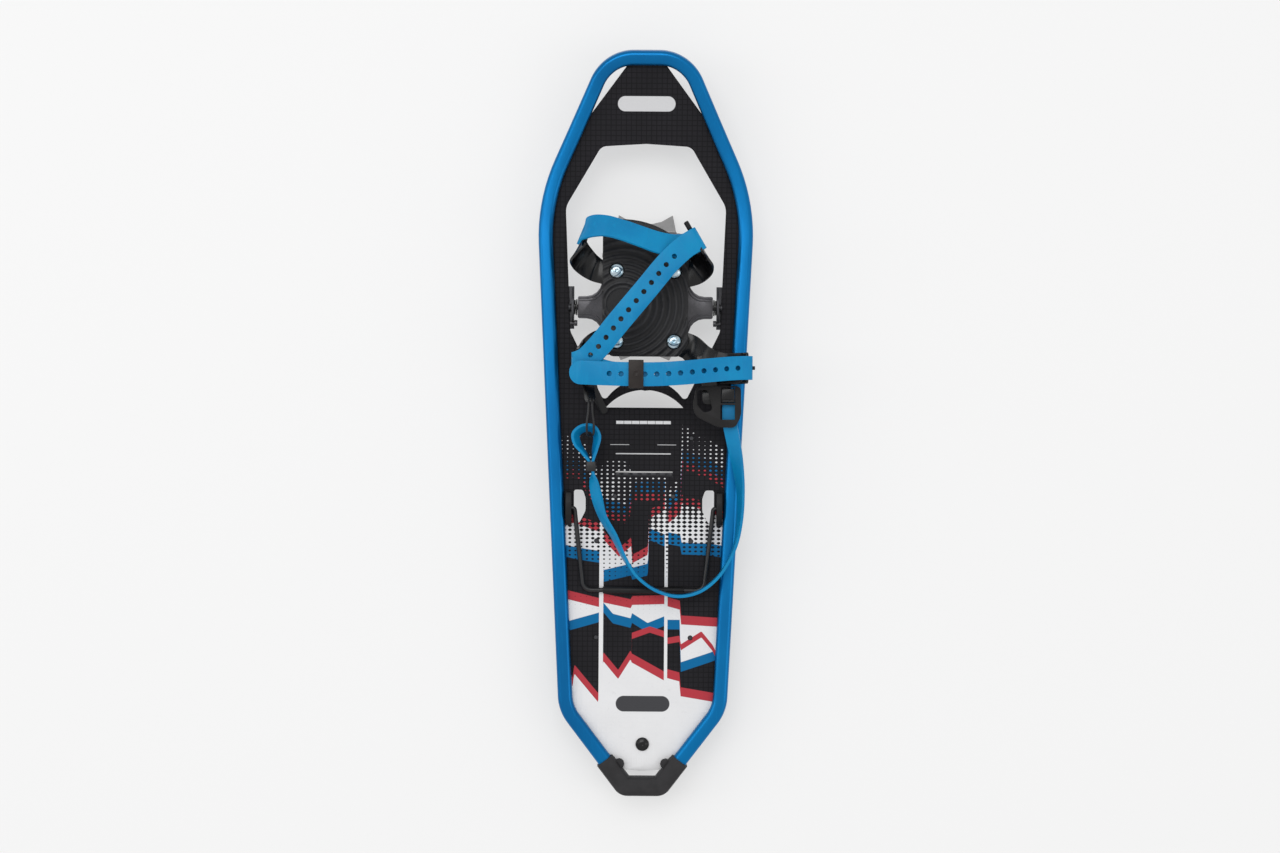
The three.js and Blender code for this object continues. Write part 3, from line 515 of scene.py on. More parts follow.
def moulded_black(name, tone, roughness, grain, shine):
    n = Nodes(name)
    pores = n.noise(2600, 3)
    smear = n.noise(70, 4, 0.6)
    scuffs = n.noise(1, 3, 0.6, n.scaled(900, 140, 500))
    base = n.mix(n.ramp(smear, 0.35, 0.7), shade(tone, 0.8), shade(tone, 1.25))
    color = n.mix(n.times(n.ramp(scuffs, 0.66, 0.8), 0.25), base, shade(tone, 2.6))
    rough = n.plus(n.ramp(smear, 0.3, 0.7, roughness - 0.05, roughness + 0.06),
                   n.ramp(scuffs, 0.6, 0.8, 0, 0.08))
    normal = n.bump(pores, grain, 0.00012)
    return n.surface(color, rough, normal, Specular_IOR_Level=shine)


def ribbed_black():
    """Black pad plastic, painted a little paler along the crests of its rings and round its disc's lip as a
    painted highlight, patchy with random wear.
    """
    n = Nodes("ribbed_black")
    x, y, _ = n.axes()
    away = n.hypotenuse(n.math("MULTIPLY_ADD", x, 1000, -RING_X), n.math("MULTIPLY_ADD", y, 1000, -RING_Y))
    wave = n.math("COSINE", n.times(n.minus(away, RING_START), 2 * math.pi / RING_PITCH))
    rings = n.times(n.ramp(wave, 0.35, 0.95), n.ramp(away, 17, 18))
    lip = n.ramp(n.apart(away, LIP_RADIUS), 0.9, 0.2)
    wear_and_highlight_noise = n.noise(45, 4, 0.6)
    pores = n.noise(2600, 3)
    # painted highlight: the ring crests and the lip are painted paler, made patchy by the random wear noise
    crest_highlight = n.times(n.math("MAXIMUM", rings, lip), n.ramp(wear_and_highlight_noise, 0.35, 0.65, 0.35, 1))
    base = n.mix(n.ramp(wear_and_highlight_noise, 0.3, 0.7), (0.0045, 0.0045, 0.0055), (0.008, 0.008, 0.0095))
    color = n.mix(crest_highlight, base, (0.026, 0.026, 0.029))
    rough = n.ramp(wear_and_highlight_noise, 0.3, 0.7, 0.3, 0.42)
    return n.surface(color, rough, n.bump(pores, 0.35, 0.00012), Specular_IOR_Level=0.25)


def brushed_steel(name, tone, roughness):
    n = Nodes(name)
    brush = n.noise(1, 4, 0.7, n.scaled(120, 3200, 900))
    stain = n.noise(60, 4, 0.6)
    color = n.mix(n.ramp(stain, 0.35, 0.75), tone, shade(tone, 0.84))
    rough = n.plus(n.ramp(brush, 0.25, 0.75, roughness - 0.08, roughness + 0.1),
                   n.ramp(stain, 0.4, 0.7, 0, 0.08))
    return n.surface(color, rough, n.bump(brush, 0.12, 0.00008), Metallic=0.95)


def zinc_plate():
    n = Nodes("zinc_plate")
    film = n.noise(150, 4, 0.6)
    pit = n.noise(1900, 3)
    cool = n.mix(n.ramp(film, 0.35, 0.65), (0.2, 0.38, 0.5), (0.6, 0.7, 0.75))
    color = n.mix(n.ramp(pit, 0.55, 0.7, 0, 0.7), cool, (0.08, 0.12, 0.15))
    rough = n.ramp(film, 0.3, 0.7, 0.14, 0.3)
    return n.surface(color, rough, n.bump(pit, 0.16, 0.0001), Metallic=1.0)


def cast_grey():
    n = Nodes("cast_grey")
    grain = n.noise(1900, 3, 0.6)
    cloud = n.noise(60, 3)
    color = n.mix(n.ramp(cloud, 0.3, 0.7), (0.045, 0.044, 0.048), (0.085, 0.083, 0.09))
    rough = n.ramp(grain, 0.3, 0.7, 0.24, 0.36)
    return n.surface(color, rough, n.bump(grain, 0.2, 0.00012), Metallic=0.6)


def blue_urethane():
    n = Nodes("blue_urethane")
    cloud = n.noise(28, 3)
    skin = n.noise(3300, 2)
    highlight_streaks = n.noise(1, 3, 0.5, n.scaled(420, 60, 420))
    color = n.mix(n.ramp(cloud, 0.3, 0.7), (0, 0.175, 0.395), (0, 0.225, 0.46))
    # painted highlight: random streaks of lighter cyan laid over the strap's own blue
    color = n.mix(n.ramp(highlight_streaks, 0.55, 0.8, 0, 0.25), color, (0, 0.31, 0.56))
    rough = n.plus(n.ramp(cloud, 0.3, 0.7, 0.36, 0.44), n.ramp(highlight_streaks, 0.5, 0.8, 0, 0.06))
    return n.surface(color, rough, n.bump(skin, 0.1, 0.00008), Specular_IOR_Level=0.2,
                     Subsurface_Weight=0.06, Subsurface_Scale=0.002)


def powder_black():
    n = Nodes("powder_black")
    peel = n.noise(2100, 2)
    worn = n.noise(420, 4, 0.7)
    color = n.mix(n.ramp(worn, 0.68, 0.8, 0, 0.5), (0.011, 0.011, 0.012), (0.09, 0.09, 0.09))
    rough = n.ramp(peel, 0.3, 0.7, 0.3, 0.42)
    return n.surface(color, rough, n.bump(peel, 0.25, 0.0001), Metallic=0.2)


# What a profile's curve node covers: x to either side of the middle, the lowest height and the range.
REACH, LOWEST, RANGE = 100, -320, 400


def profile(n, value, points):
    """A height that follows straight lines between points (x, height)."""
    node = n.add("FloatCurve", {"Value": n.ramp(value, -REACH, REACH)})
    curve = node.mapping.curves[0]
    spots = [((x + REACH) / (2 * REACH), (height - LOWEST) / RANGE) for x, height in points]
    curve.points[0].location = spots[0]
    curve.points[1].location = spots[-1]
    for spot in spots[1:-1]:
        curve.points.new(*spot)
    for point in curve.points:
        point.handle_type = "VECTOR"
    node.mapping.update()
    return n.plus(n.times(node.outputs[0], RANGE), LOWEST)


# The print's two pale stripes, from x to x.
STRIPES = [(-39.4, -35.6), (18.8, 21.7)]

# Heights of the print's zigzag edges: lists of (x, height) that jump from panel to panel.
TAIL_EDGE = [(-85, -217), (-62, -226), (-61.5, -214), (-39.5, -240), (-35.5, -203), (-22, -219), (-10.7, -201),
             (-10.5, -204), (18.7, -220), (21.8, -218), (33.1, -221), (33.3, -234), (70, -240), (85, -246)]
UPPER_RED = [(-85, -144), (-39.5, -155), (-35.5, -151), (-10.7, -156), (-10.5, -153), (18.7, -152),
             (21.8, -154), (33.1, -157), (33.3, -170), (85, -173)]
UPPER_BLUE = [(-85, -181), (-39.5, -168), (-35.5, -159), (-27, -169), (-10.7, -173), (-10.5, -168), (4, -177),
              (18.7, -171), (21.8, -174), (33.1, -174), (33.3, -212), (60, -203), (85, -193)]
CHEVRON = [(-85, -320), (-39.5, -320), (-10.7, -320), (-10.5, -186), (6, -180), (18.7, -184), (21.8, -190),
           (33.1, -188), (33.3, -196), (52, -184), (62, -196), (85, -240)]
DOT_HIGH = [(-85, -92), (-62, -88), (-39.5, -96), (-35.5, -103), (-22, -118), (-10.7, -108), (-10.5, -124),
            (4, -116), (4.2, -84), (18.7, -76), (21.8, -88), (33.1, -78), (33.3, -70), (60, -78), (85, -92)]
DOT_LOW = [(-85, -104), (-60, -110), (-39.5, -113), (-35.5, -130), (-10.7, -124), (-10.5, -128), (4, -124),
           (4.2, -92), (18.7, -98), (21.8, -96), (33.1, -98), (33.3, -105), (60, -106), (85, -110)]
SPARSE_HIGH = [(-85, -16), (-60, -4), (-39.5, -44), (-35.5, -30), (-14, -34), (-10.7, -46), (18.7, -44),
               (21.8, -58), (33.1, -44), (33.3, 0), (60, -14), (85, -30)]
SPARSE_LOW = [(-85, -34), (-60, -30), (-39.5, -62), (-35.5, -66), (-14, -72), (-10.7, -52), (18.7, -50),
              (21.8, -66), (33.1, -54), (33.3, -22), (60, -32), (85, -48)]


def deck_print():
    """Coated ripstop with a generic print: halftone dots that grow into broken zigzag bands."""
    n = Nodes("deck_print")
    x, y, _ = n.axes()
    xm = n.times(x, 1000)
    ym = n.times(y, 1000)

    def below(level):
        return n.ramp(n.minus(level, ym), -0.22, 0.22)

    def field(high, low):
        return n.times(below(high), n.minus(1, below(low)))

    def band(high, deep):
        return field(high, n.minus(high, deep))

    def between(value, low, high, soft=0.15):
        return n.times(n.ramp(value, low - soft, low + soft), n.ramp(value, high - soft, high + soft, 1, 0))

    def ripstop(value, pitch=4.5, thin=0.11):
        wave = n.apart(n.math("FRACT", n.math("DIVIDE", value, pitch)), 0.5)
        return n.ramp(wave, 0.5 - thin, 0.5 - thin * 0.4)

    rip = n.math("MAXIMUM", ripstop(xm), ripstop(ym))
    threads = n.times(n.math("SINE", n.times(xm, 14)), n.math("SINE", n.times(ym, 14)))
    cloud = n.noise(35, 4, 0.6)
    cloth = n.mix(n.ramp(cloud, 0.3, 0.7), (0.0085, 0.008, 0.0102), (0.0135, 0.0125, 0.0155))
    cloth = n.mix(n.times(rip, 0.7), cloth, (0.002, 0.002, 0.0025))
    color = cloth

    def printed(ink, *masks):
        """Lays an ink over the colour so far, where all the masks are 1."""
        nonlocal color
        factor = masks[0]
        for mask in masks[1:]:
            factor = n.times(factor, mask)
        color = n.mix(factor, color, ink)

    white = n.mix(n.ramp(cloud, 0.25, 0.75), (0.7, 0.7, 0.71), (0.74, 0.74, 0.75))
    blue = (0, 0.125, 0.31)
    red = (0.42, 0.038, 0.052)

    # dots: a wave that peaks at each dot's middle and dips between four of them
    wave_x = n.math("COSINE", n.times(n.plus(xm, 2.1), 2 * math.pi / 5.1))
    wave = n.plus(wave_x, n.math("COSINE", n.times(ym, 2 * math.pi / 3.7)))
    patches = n.noise(1, 2, 0.5, n.scaled(42, 30, 1))

    def dotted(fullness):
        level = n.minus(2.0, n.times(fullness, 4.0))
        return n.ramp(n.minus(wave, level), -0.12, 0.12)

    dot_high = profile(n, xm, DOT_HIGH)
    dot_low = profile(n, xm, DOT_LOW)
    dots = dotted(n.plus(n.ramp(ym, -62, -130, 0.2, 0.96), n.ramp(patches, 0.35, 0.65, -0.09, 0.07)))
    printed(white, field(dot_high, dot_low), dots)
    printed(blue, band(dot_low, 10.5), dots)
    printed(red, band(n.plus(dot_high, 7.5), 7.5), dots)

    sparse_high = profile(n, xm, SPARSE_HIGH)
    sparse_low = profile(n, xm, SPARSE_LOW)
    dots = dotted(n.plus(n.ramp(ym, 0, -72, 0.035, 0.3), n.ramp(patches, 0.4, 0.6, -0.12, 0.05)))
    printed(white, field(sparse_high, sparse_low), dots)
    printed(blue, band(sparse_low, 10), dots)
    printed(red, band(n.minus(sparse_low, 10), 7), dots)

    # solid bands nearer the tail, with a last few pinholes of the dots
    pinholes = dotted(n.ramp(ym, -150, -172, 0.965, 1.02))
    upper_red = profile(n, xm, UPPER_RED)
    upper_blue = profile(n, xm, UPPER_BLUE)
    tail_edge = profile(n, xm, TAIL_EDGE)
    printed(red, band(upper_red, 8), pinholes)
    printed(white, field(n.minus(upper_red, 8), upper_blue), pinholes)
    printed(blue, band(upper_blue, 8.5))
    printed(red, band(profile(n, xm, CHEVRON), 5.5))
    printed(red, band(tail_edge, 8))
    printed(white, below(n.minus(tail_edge, 8)))

    # two pale stripes down the deck, broken by dots higher up
    stripes = n.math("MAXIMUM", *(between(xm, low, high) for low, high in STRIPES))
    printed(white, stripes, between(ym, -250, -48), dotted(n.ramp(ym, -48, -140, 0.16, 1.02)))

    # plain printed bars behind the half-moon opening, the first one cut into blocks
    left, right, block = -25.4, 23.6, 7
    blocks = n.apart(n.math("FRACT", n.math("DIVIDE", n.minus(xm, left), block)), 0.5)
    printed(white, between(ym, 0.4, 3.2), between(xm, left, right), n.ramp(blocks, 0.455, 0.475, 1, 0.25))
    thin = n.times(between(ym, -26.6, -25.6), between(xm, left, right))
    halves = n.minus(between(xm, -30.4, 28.3), between(xm, -13.5, 11.6))
    printed(white, n.math("MAXIMUM", thin, n.times(between(ym, -18.3, -17.8), halves)), 0.8)

    # plain dark label on the pale tail, and a pale one on the dark nose
    for middle, half, radius, ink in ((-249, 17, 7, (0.05, 0.05, 0.055)), (284, 19, 6.5, (0.58, 0.58, 0.59))):
        past_end = n.math("MAXIMUM", n.minus(n.math("ABSOLUTE", xm), half), 0)
        away = n.hypotenuse(past_end, n.minus(ym, middle))
        printed(ink, n.ramp(away, radius - 0.2, radius + 0.2, 1, 0))

    # the print is on the upper face only
    color = n.mix(n.ramp(n.axes(n.coordinates["Normal"])[2], 0.0, 0.3), cloth, color)

    # grime
    printed((0.04, 0.04, 0.04), n.ramp(n.noise(180, 5, 0.65), 0.62, 0.8, 0, 0.16))
    rough = n.plus(n.ramp(cloud, 0.3, 0.7, 0.46, 0.58), n.times(rip, 0.1))
    normal = n.bump(threads, 0.1, 0.00006, n.bump(rip, 0.3, 0.00015))
    return n.surface(color, rough, normal, Specular_IOR_Level=0.13, Sheen_Weight=0.02)


# Finishes: a material, and the record's material slot that it is for.
blue_tube = anodised_blue(), "blue_anodised"
black_shell = moulded_black("moulded_black", (0.0085, 0.0083, 0.009), 0.42, 0.35, 0.22), "black_plastic"
cap_black = moulded_black("cap_black", (0.026, 0.0253, 0.0268), 0.55, 0.6, 0.18), "black_plastic"
gloss_black = moulded_black("gloss_black", (0.004, 0.004, 0.0046), 0.2, 0.08, 0.35), "gloss_plastic"
keeper_black = moulded_black("keeper_black", (0.022, 0.0175, 0.016), 0.38, 0.3, 0.2), "black_plastic"
buckle_black = moulded_black("buckle_black", (0.0115, 0.0108, 0.0112), 0.45, 0.5, 0.2), "black_plastic"
rib_black = ribbed_black(), "black_plastic"
steel = brushed_steel("brushed_steel", (0.34, 0.335, 0.335), 0.36), "steel"
dark_steel = brushed_steel("dark_steel", (0.06, 0.06, 0.065), 0.42), "steel"
zinc = zinc_plate(), "zinc"
cast = cast_grey(), "cast_grey"
stop_grey = cast[0], "steel"
urethane = blue_urethane(), "blue_strap"
powder = powder_black(), "black_wire"
fabric = deck_print(), "deck_fabric"


# ---------- frame ----------
def stations_on_deck(run):
    """Stations along an outline, laid on the curled deck, at most 5 mm apart."""
    flat = run[:1]
    for before, point in zip(run, run[1:]):
        pieces = max(1, math.ceil((point - before).length / 5))
        flat += [before.lerp(point, k / pieces) for k in range(1, pieces)] + [point]
    points = [Vector((p.x, p.y, DECK_Z + curl_at(p.y))) for p in flat]
    result = []
    for at, way in zip(points, tangents(points)):
        up = deck_normal(at.y)
        result.append((at, up.cross(way).normalized(), up))
    return result


def tube_line(end_y):
    half = inset_edge(TUBE_WIDE / 2)
    bend, corner = half[3], half[4]
    share = (end_y - bend[1]) / (corner[1] - bend[1])
    right = half[1:4] + [(bend[0] + (corner[0] - bend[0]) * share, end_y, 0)]
    return mirrored(right) + right


def make_frame():
    # the deck sits in a groove along the tube's inner side
    wall, groove_deep, groove_half = -TUBE_WIDE / 2, 2.7, 1.3
    outer = rounded_box_ring(TUBE_WIDE / 2, TUBE_TALL / 2, 4, 6)
    half = len(outer) // 2
    groove = [(wall, groove_half), (wall + groove_deep, groove_half), (wall + groove_deep, -groove_half),
              (wall, -groove_half)]
    bm = bmesh.new()
    sweep_mesh(bm, stations_on_deck(rounded_run(tube_line(-309), step=3)), outer[:half] + groove + outer[half:])
    finish_piece(new_object("tube", bm, 40), blue_tube, "frame", "frame_tube")

    bevelled("tail_cap", cap_black, "frame", 0.7, 3)
    for i in (1, 2, 3):
        for side in ("left", "right"):
            bevelled(f"rail_rivet_{i}_{side}", dark_steel, "frame", 0.2, 1)
    for side in ("left", "right"):
        bevelled(f"cleat_rivet_{side}", dark_steel, "frame", 0.2, 1)
        bevelled(f"traction_rail_{side}", steel, "frame", 0.3, 2)
        bevelled(f"pivot_bracket_{side}", dark_steel, "frame", 0.3, 2)
        bevelled(f"pivot_bush_{side}", gloss_black, "frame", 0.15, 1)
        bevelled(f"rotation_stop_{side}", stop_grey, "frame", 0.3, 2)
        bevelled(f"bail_bracket_{side}", black_shell, "frame", 0.8, 3)
        bevelled(f"pivot_pin_{side}", dark_steel, "binding", 0.2, 1)
        bevelled(f"pivot_washer_{side}", gloss_black, "binding", 0.12, 1)
    bevelled("heel_cleat", dark_steel, "frame", 0.3, 2)

    # the button's shank under the deck, then its cap, in heights above the deck
    shank = [(0, 30.2), (5, 30.2), (5, 32.9), (3, 32.9)]
    cap = [(3, 0.3), (5.4, 0.3), (6, 0.55), (5.75, 1.2), (5.1, 1.75), (4.5, 1.95), (4.1, 1.9), (3.8, 2.05),
           (2.4, 2.5), (1.3, 2.65), (0.9, 2.45), (0, 2.4)]
    turned_shape = shank + [(radius, DECK_TOP + height) for radius, height in cap]
    finish_piece(lathe_piece("button", turned_shape, (0, BUTTON_Y, 0)), gloss_black, "frame", "tail_button")


def make_deck():
    inner = inset_edge(11.4)
    deep = inset_edge(15.1)

    def along_side(corners, first, y):
        a, b = corners[first], corners[first + 1]
        return a[0] + (b[0] - a[0]) * (y - a[1]) / (b[1] - a[1])

    nose_y = inner[0][1]
    half = [
        (0, nose_y, 0), (16.1, nose_y, 0), (51.3, 272.5, 0), (along_side(inner, 1, 272.5), 272.5, 0),
        inner[2], inner[3],
        (along_side(inner, 3, -293), -293, 0), (along_side(deep, 3, -296), -296, 0),
        (along_side(deep, 3, -307.8), -307.8, 0), (0, -307.8, 0),
    ]
    front = [(0, 249.5, 0), (40, 247, 9), (71.5, 194, 18), (66.8, 83, 12), (36, 20, 3)]
    front += arch_points(36, 20, 40.6)
    moon = [(0, 15, 0), (34.5, 15, 0)] + arch_points(34.5, 15, 30.8)
    kidney = [(62.5, -58.5, 2), (54.5, -58.5, 3), (52, -66, 6), (52, -77, 8), (57.5, -88, 3), (62.5, -88, 1.5)]
    outlines = [
        rounded_run(both_halves(half), True, 4),
        rounded_run(both_halves(front), True, 6), rounded_run(both_halves(moon), True, 6),
        rounded_run(kidney, True, 12), rounded_run(mirrored(kidney), True, 12),
        oval(0, -44.3, 25.5, 2.5, 0.8), circle(0, BUTTON_Y, 3.4),
    ]
    outlines += [circle(side * x, y, DECK_HOLE, 16) for side in (-1, 1) for x, y in
                 ((42, -12), (42, -104), (42, -190), (26, -64))]
    bm = filled_outline(outlines, 9, 9)
    for vert in bm.verts:
        x, y = vert.co.x / MM, vert.co.y / MM
        ripple = 0.12 * math.sin(x * 0.11 + 1.3) * math.sin(y * 0.07)
        vert.co.z = (DECK_Z + curl_at(y) + ripple) * MM
    sheet = new_object("deck_cloth", bm)
    thicken(sheet, DECK_THICK, 0.35)
    finish_piece(sheet, fabric, "frame", "deck")


# ---------- binding ----------
def make_carriage():
    bevelled("carriage", cast, "binding", 0.9, 3)
    bevelled("toe_crampon", steel, "binding", 0.35, 2)
    ridges = bmesh.new()
    for side in (-1, 1):
        for up in (-1, 1):
            for inset, radius in ((1.7, 0.75), (3.9, 0.6)):
                corners = [
                    (37.8 - inset, PIVOT_Y + up * 26, 0),
                    (44 - inset * 0.55, PIVOT_Y + up * (10 - inset), 13),
                    (59.2, PIVOT_Y + up * (9.7 - inset), 0),
                ]
                run = rounded_run([(side * x, y, r) for x, y, r in corners], step=5)
                points = [Vector((p.x, p.y, 41.1)) for p in run]
                stations = [(at, way.cross(UP).normalized(), UP) for at, way in zip(points, tangents(points))]
                sweep_mesh(ridges, stations, circle(0, -0.12, radius, 12))
    finish_piece(new_object("wing_flutes", ridges, 60), cast, "binding")


def rib_height(x, y):
    """The footbed's raised rings, and the lip of the plain disc they run round, above its face."""
    away = math.hypot(x - RING_X, y - RING_Y)
    if away < LIP_RADIUS + 1.3:
        return -0.35 + 0.4 * max(0.0, 1 - abs(away - LIP_RADIUS) / 0.9)
    phase = (away - RING_START) / RING_PITCH
    gap = abs(phase - round(phase)) * RING_PITCH
    return 0.75 * max(0.0, 1 - (gap / 1.25) ** 2) - 0.15


def make_footbed():
    half_wide, front_radius, steps = 38, 75, 24
    corners = []
    for i in range(steps + 1):
        x = -half_wide + 2 * half_wide * i / steps
        corners.append((x, RING_Y + math.sqrt(front_radius ** 2 - (x - RING_X) ** 2), 0))
    corners += [(half_wide, 72, 5), (30, 60.2, 5), (-31, 60.2, 6), (-half_wide, 72, 5)]
    seats = [circle(side * BOLT_X, y, 6.9, 28) for side in (-1, 1) for y in (BOLT_FRONT, BOLT_REAR)]
    bm = filled_outline([rounded_run(corners, True, 8)] + seats, 1.25, 1.25)
    rim = {vert for edge in bm.edges if edge.is_boundary for vert in edge.verts}
    for vert in bm.verts:
        ribs = rib_height(vert.co.x / MM, vert.co.y / MM)
        vert.co.z = (FOOTBED_RIM if vert in rim else FOOTBED_TOP + ribs) * MM
    for vert in bmesh.ops.extrude_face_region(bm, geom=bm.faces[:], use_keep_orig=True)["geom"]:
        if isinstance(vert, bmesh.types.BMVert):
            vert.co.z = FOOTBED_BOTTOM * MM
    bmesh.ops.recalc_face_normals(bm, faces=bm.faces[:])
    finish_piece(new_object("footbed_pad", bm, 50), rib_black, "binding", "footbed")

    dome = [(0, 27.4), (2.7, 27.4), (2.7, 47.2), (6.3, 47.2), (6.5, 47.5), (6.45, 47.95), (5.95, 48.8),
            (5.0, 49.6), (3.9, 50.15), (2.6, 50.45), (1.9, 50.5), (1.55, 50.2), (0.8, 50.1), (0, 50.1)]
    bolts = [(side * BOLT_X, y) for y in (BOLT_FRONT, BOLT_REAR) for side in (-1, 1)]
    for i, (x, y) in enumerate(bolts, 1):
        finish_piece(lathe_piece(f"bolt_{i}", dome, (x, y, 0)), zinc, "binding", f"binding_bolt_{i}")
        bevelled(f"binding_nut_{i}", zinc, "binding", 0.3, 2)


# ---------- arms and straps ----------
def clipped(points, level, above):
    """The part of a convex outline on one side of a line across it."""
    result = []
    for i, here in enumerate(points):
        before = points[i - 1]
        if (before[1] > level) != (here[1] > level):
            share = (level - before[1]) / (here[1] - before[1])
            result.append((before[0] + (here[0] - before[0]) * share, level))
        if (here[1] > level) == above:
            result.append(here)
    return result


def ribbon_piece(name, stations, outline, holes, thickness, bevel, cell=1.3):
    """A strip cut flat, from outlines (across, along), then laid along a route.
    A long one is filled in lengths of about 35 mm, which meet clear of the holes."""
    middles = [sum(p[1] for p in hole) / len(hole) for hole in holes]
    end = max(p[1] for p in outline)
    seams = [-1.0]
    while len(holes) > 3 and seams[-1] + 50 < end:
        seam = seams[-1] + 35
        while any(abs(seam - middle) < 3.5 for middle in middles):
            seam += 1
        seams.append(seam)
    bm = bmesh.new()
    for low, high in zip(seams, seams[1:] + [end + 1]):
        part = clipped(clipped(outline, low, True), high, False)
        inside = [hole for hole, middle in zip(holes, middles) if low < middle < high]
        length = filled_outline([part] + inside, 0, cell)
        mesh = bpy.data.meshes.new("length")
        length.to_mesh(mesh)
        length.free()
        bm.from_mesh(mesh)
        bpy.data.meshes.remove(mesh)
    bmesh.ops.remove_doubles(bm, verts=bm.verts, dist=1e-7)
    for vert in bm.verts:
        at, side = on_route(stations, vert.co.y / MM)
        vert.co = (at + side * (vert.co.x / MM)) * MM
    strip = new_object(name, bm)
    thicken(strip, thickness, bevel)
    return strip


def join_meshes(target, others):
    bm = bmesh.new()
    bm.from_mesh(target.data)
    for other in others:
        bm.from_mesh(other.data)
        bpy.data.objects.remove(other)
    bm.to_mesh(target.data)
    bm.free()


def arm_tab(side, y):
    """The arm's foot, clamped between carriage and footbed by a bolt."""
    corners = [(side * 14, y - 11, 2), (side * 34, y - 11, 2), (side * 34, y + 9, 2), (side * 14, y + 9, 2)]
    bm = filled_outline([rounded_run(corners[::side], True, 15), circle(side * BOLT_X, y, 3.1)], 0, 0)
    bmesh.ops.translate(bm, verts=bm.verts, vec=Vector((0, 0, TAB * MM)))
    tab = new_object("tab", bm)
    thicken(tab, ARM_THICK, 0.3)
    return tab


def over(bar):
    return bar[0], bar[1], bar[2] + BAR_HALF


def make_arms():
    straight = (0, 1, 0)
    low_left, high_left = (0.35, 0.94, 0), (0.4, 0.92, 0)
    routes = {
        "toe_arm_left": (
            turned(low_left, (-31, 132.3, TAB), (-38, 134.8, TAB), (-45, 137.5, TAB + 0.2))
            + [(-54, 144, 50, *high_left), (-59, 151.5, 60.5, 0.45, 0.9, 0)]
            + turned(high_left, (-56.3, 158.8, 70.5), (-50.8, 165, 79.5)), 24, -1, BOLT_FRONT),
        "toe_arm_right": ([
            (31, 132.3, TAB, -0.25, 0.97, 0), (38, 134, TAB, -0.27, 0.96, 0),
            (45, 137, TAB + 0.2, -0.3, 0.95, 0), (50.5, 142.5, 50, -0.4, 0.92, 0),
            (51.5, 149.5, 62, -0.5, 0.86, 0), (47.5, 156.5, 75, *TOE_SIDE), (*over(TOE_BAR), *TOE_SIDE)],
            27, 1, BOLT_FRONT),
        "instep_arm_left": (turned(
            straight, (-31, 73, TAB), (-40, 72, TAB + 0.5), (-51, 61.5, 50), (-57, 54.5, 64), (-59, 52, 78),
            over(LEFT_BAR)), 27, -1, BOLT_REAR),
        "instep_arm_right": (turned(
            straight, (31, 72, TAB), (40, 68.5, TAB + 0.5), (52, 57, 50), (63, 51, 56.5), (75, 49.5, 64.5),
            (86, 49.5, 76), over(RIGHT_BAR)), 27, 1, BOLT_REAR),
    }
    bands = {
        "instep_arm_left": [
            ([(-46, 68, 47, 1, 0, 0), (-50, 56, 50, 1, 0, 0), (-51, 42, 55, 1, 0, 0), (-49, 30, 61, 1, 0.1, 0),
              (-47.6, 19, 64, 1, 0.15, 0)], 10),
            ([(-46, 62, 47, 1, 0.2, 0), (-48, 48, 48, 1, 0.3, 0), (-44, 28, 44, 1, 0.4, 0),
              (-35, 10, 39, 1, 0.5, 0)], 7),
        ],
        "instep_arm_right": [
            (turned((1, 0, 0), (52, 62, 48.9), (54, 51, 52), (56, 41, 58), (57, 31, 62.6), (57, 18, 63.4)), 13),
        ],
    }
    slits = {"toe_arm_left": (1.5, 13, 2.0, 8.5, 1.9), "toe_arm_right": (-5, 26, 1.6, 5.5, 1.5),
             "instep_arm_left": (-5, 34, 1.6, 5.5, 1.5)}
    for name, (guides, width, side, bolt_y) in routes.items():
        stations = route(guides)
        length = stations[-1][3]
        half = width / 2
        right = [(half - 2.5, 0, 0), (half + 0.3, length * 0.45, 30), (half, length, 3)]
        outline = rounded_run([mirrored(right)[-1]] + right + mirrored(right)[:-1], True, 8)
        holes = []
        if name != "toe_arm_left":
            # the slot that leaves a bar for the harness strap
            holes.append(oval(0, length - 2 * BAR_HALF - 2.1, STRAP_WIDE / 2 + 0.6, 1.9, 1.2))
        if name in slits:
            across, from_end, *size = slits[name]
            holes.append(oval(across, length - from_end, *size))
        arm = ribbon_piece(name + "_fine", stations, outline, holes, ARM_THICK, 0.5)
        parts = [arm_tab(side, bolt_y)]
        for more, wide in bands.get(name, []):
            path = route(more)
            end = path[-1][3]
            h = wide / 2
            tip = min(h * 0.9, 4)
            strip = rounded_run([(-h, 0, 0), (h, 0, 0), (h, end, tip), (-h, end, tip)], True, 12)
            parts.append(ribbon_piece("band", path, strip, [], 2.0, 0.45, 1.6))
        join_meshes(arm, parts)
        sharp_by_angle(arm, 45)
        finish_piece(arm, gloss_black, "binding", name)


def fold(bar, away, side, upwards):
    """Guides for a half turn of strap round the outer side of a bar."""
    result = []
    for degrees in (30, 60, 90, 120, 150):
        angle = math.radians(degrees)
        reach = math.sin(angle) * FOLD_RADIUS
        rise = math.cos(angle) * FOLD_RADIUS * (-1 if upwards else 1)
        result.append((bar[0] + away[0] * reach, bar[1] + away[1] * reach, bar[2] + rise, *side))
    return result


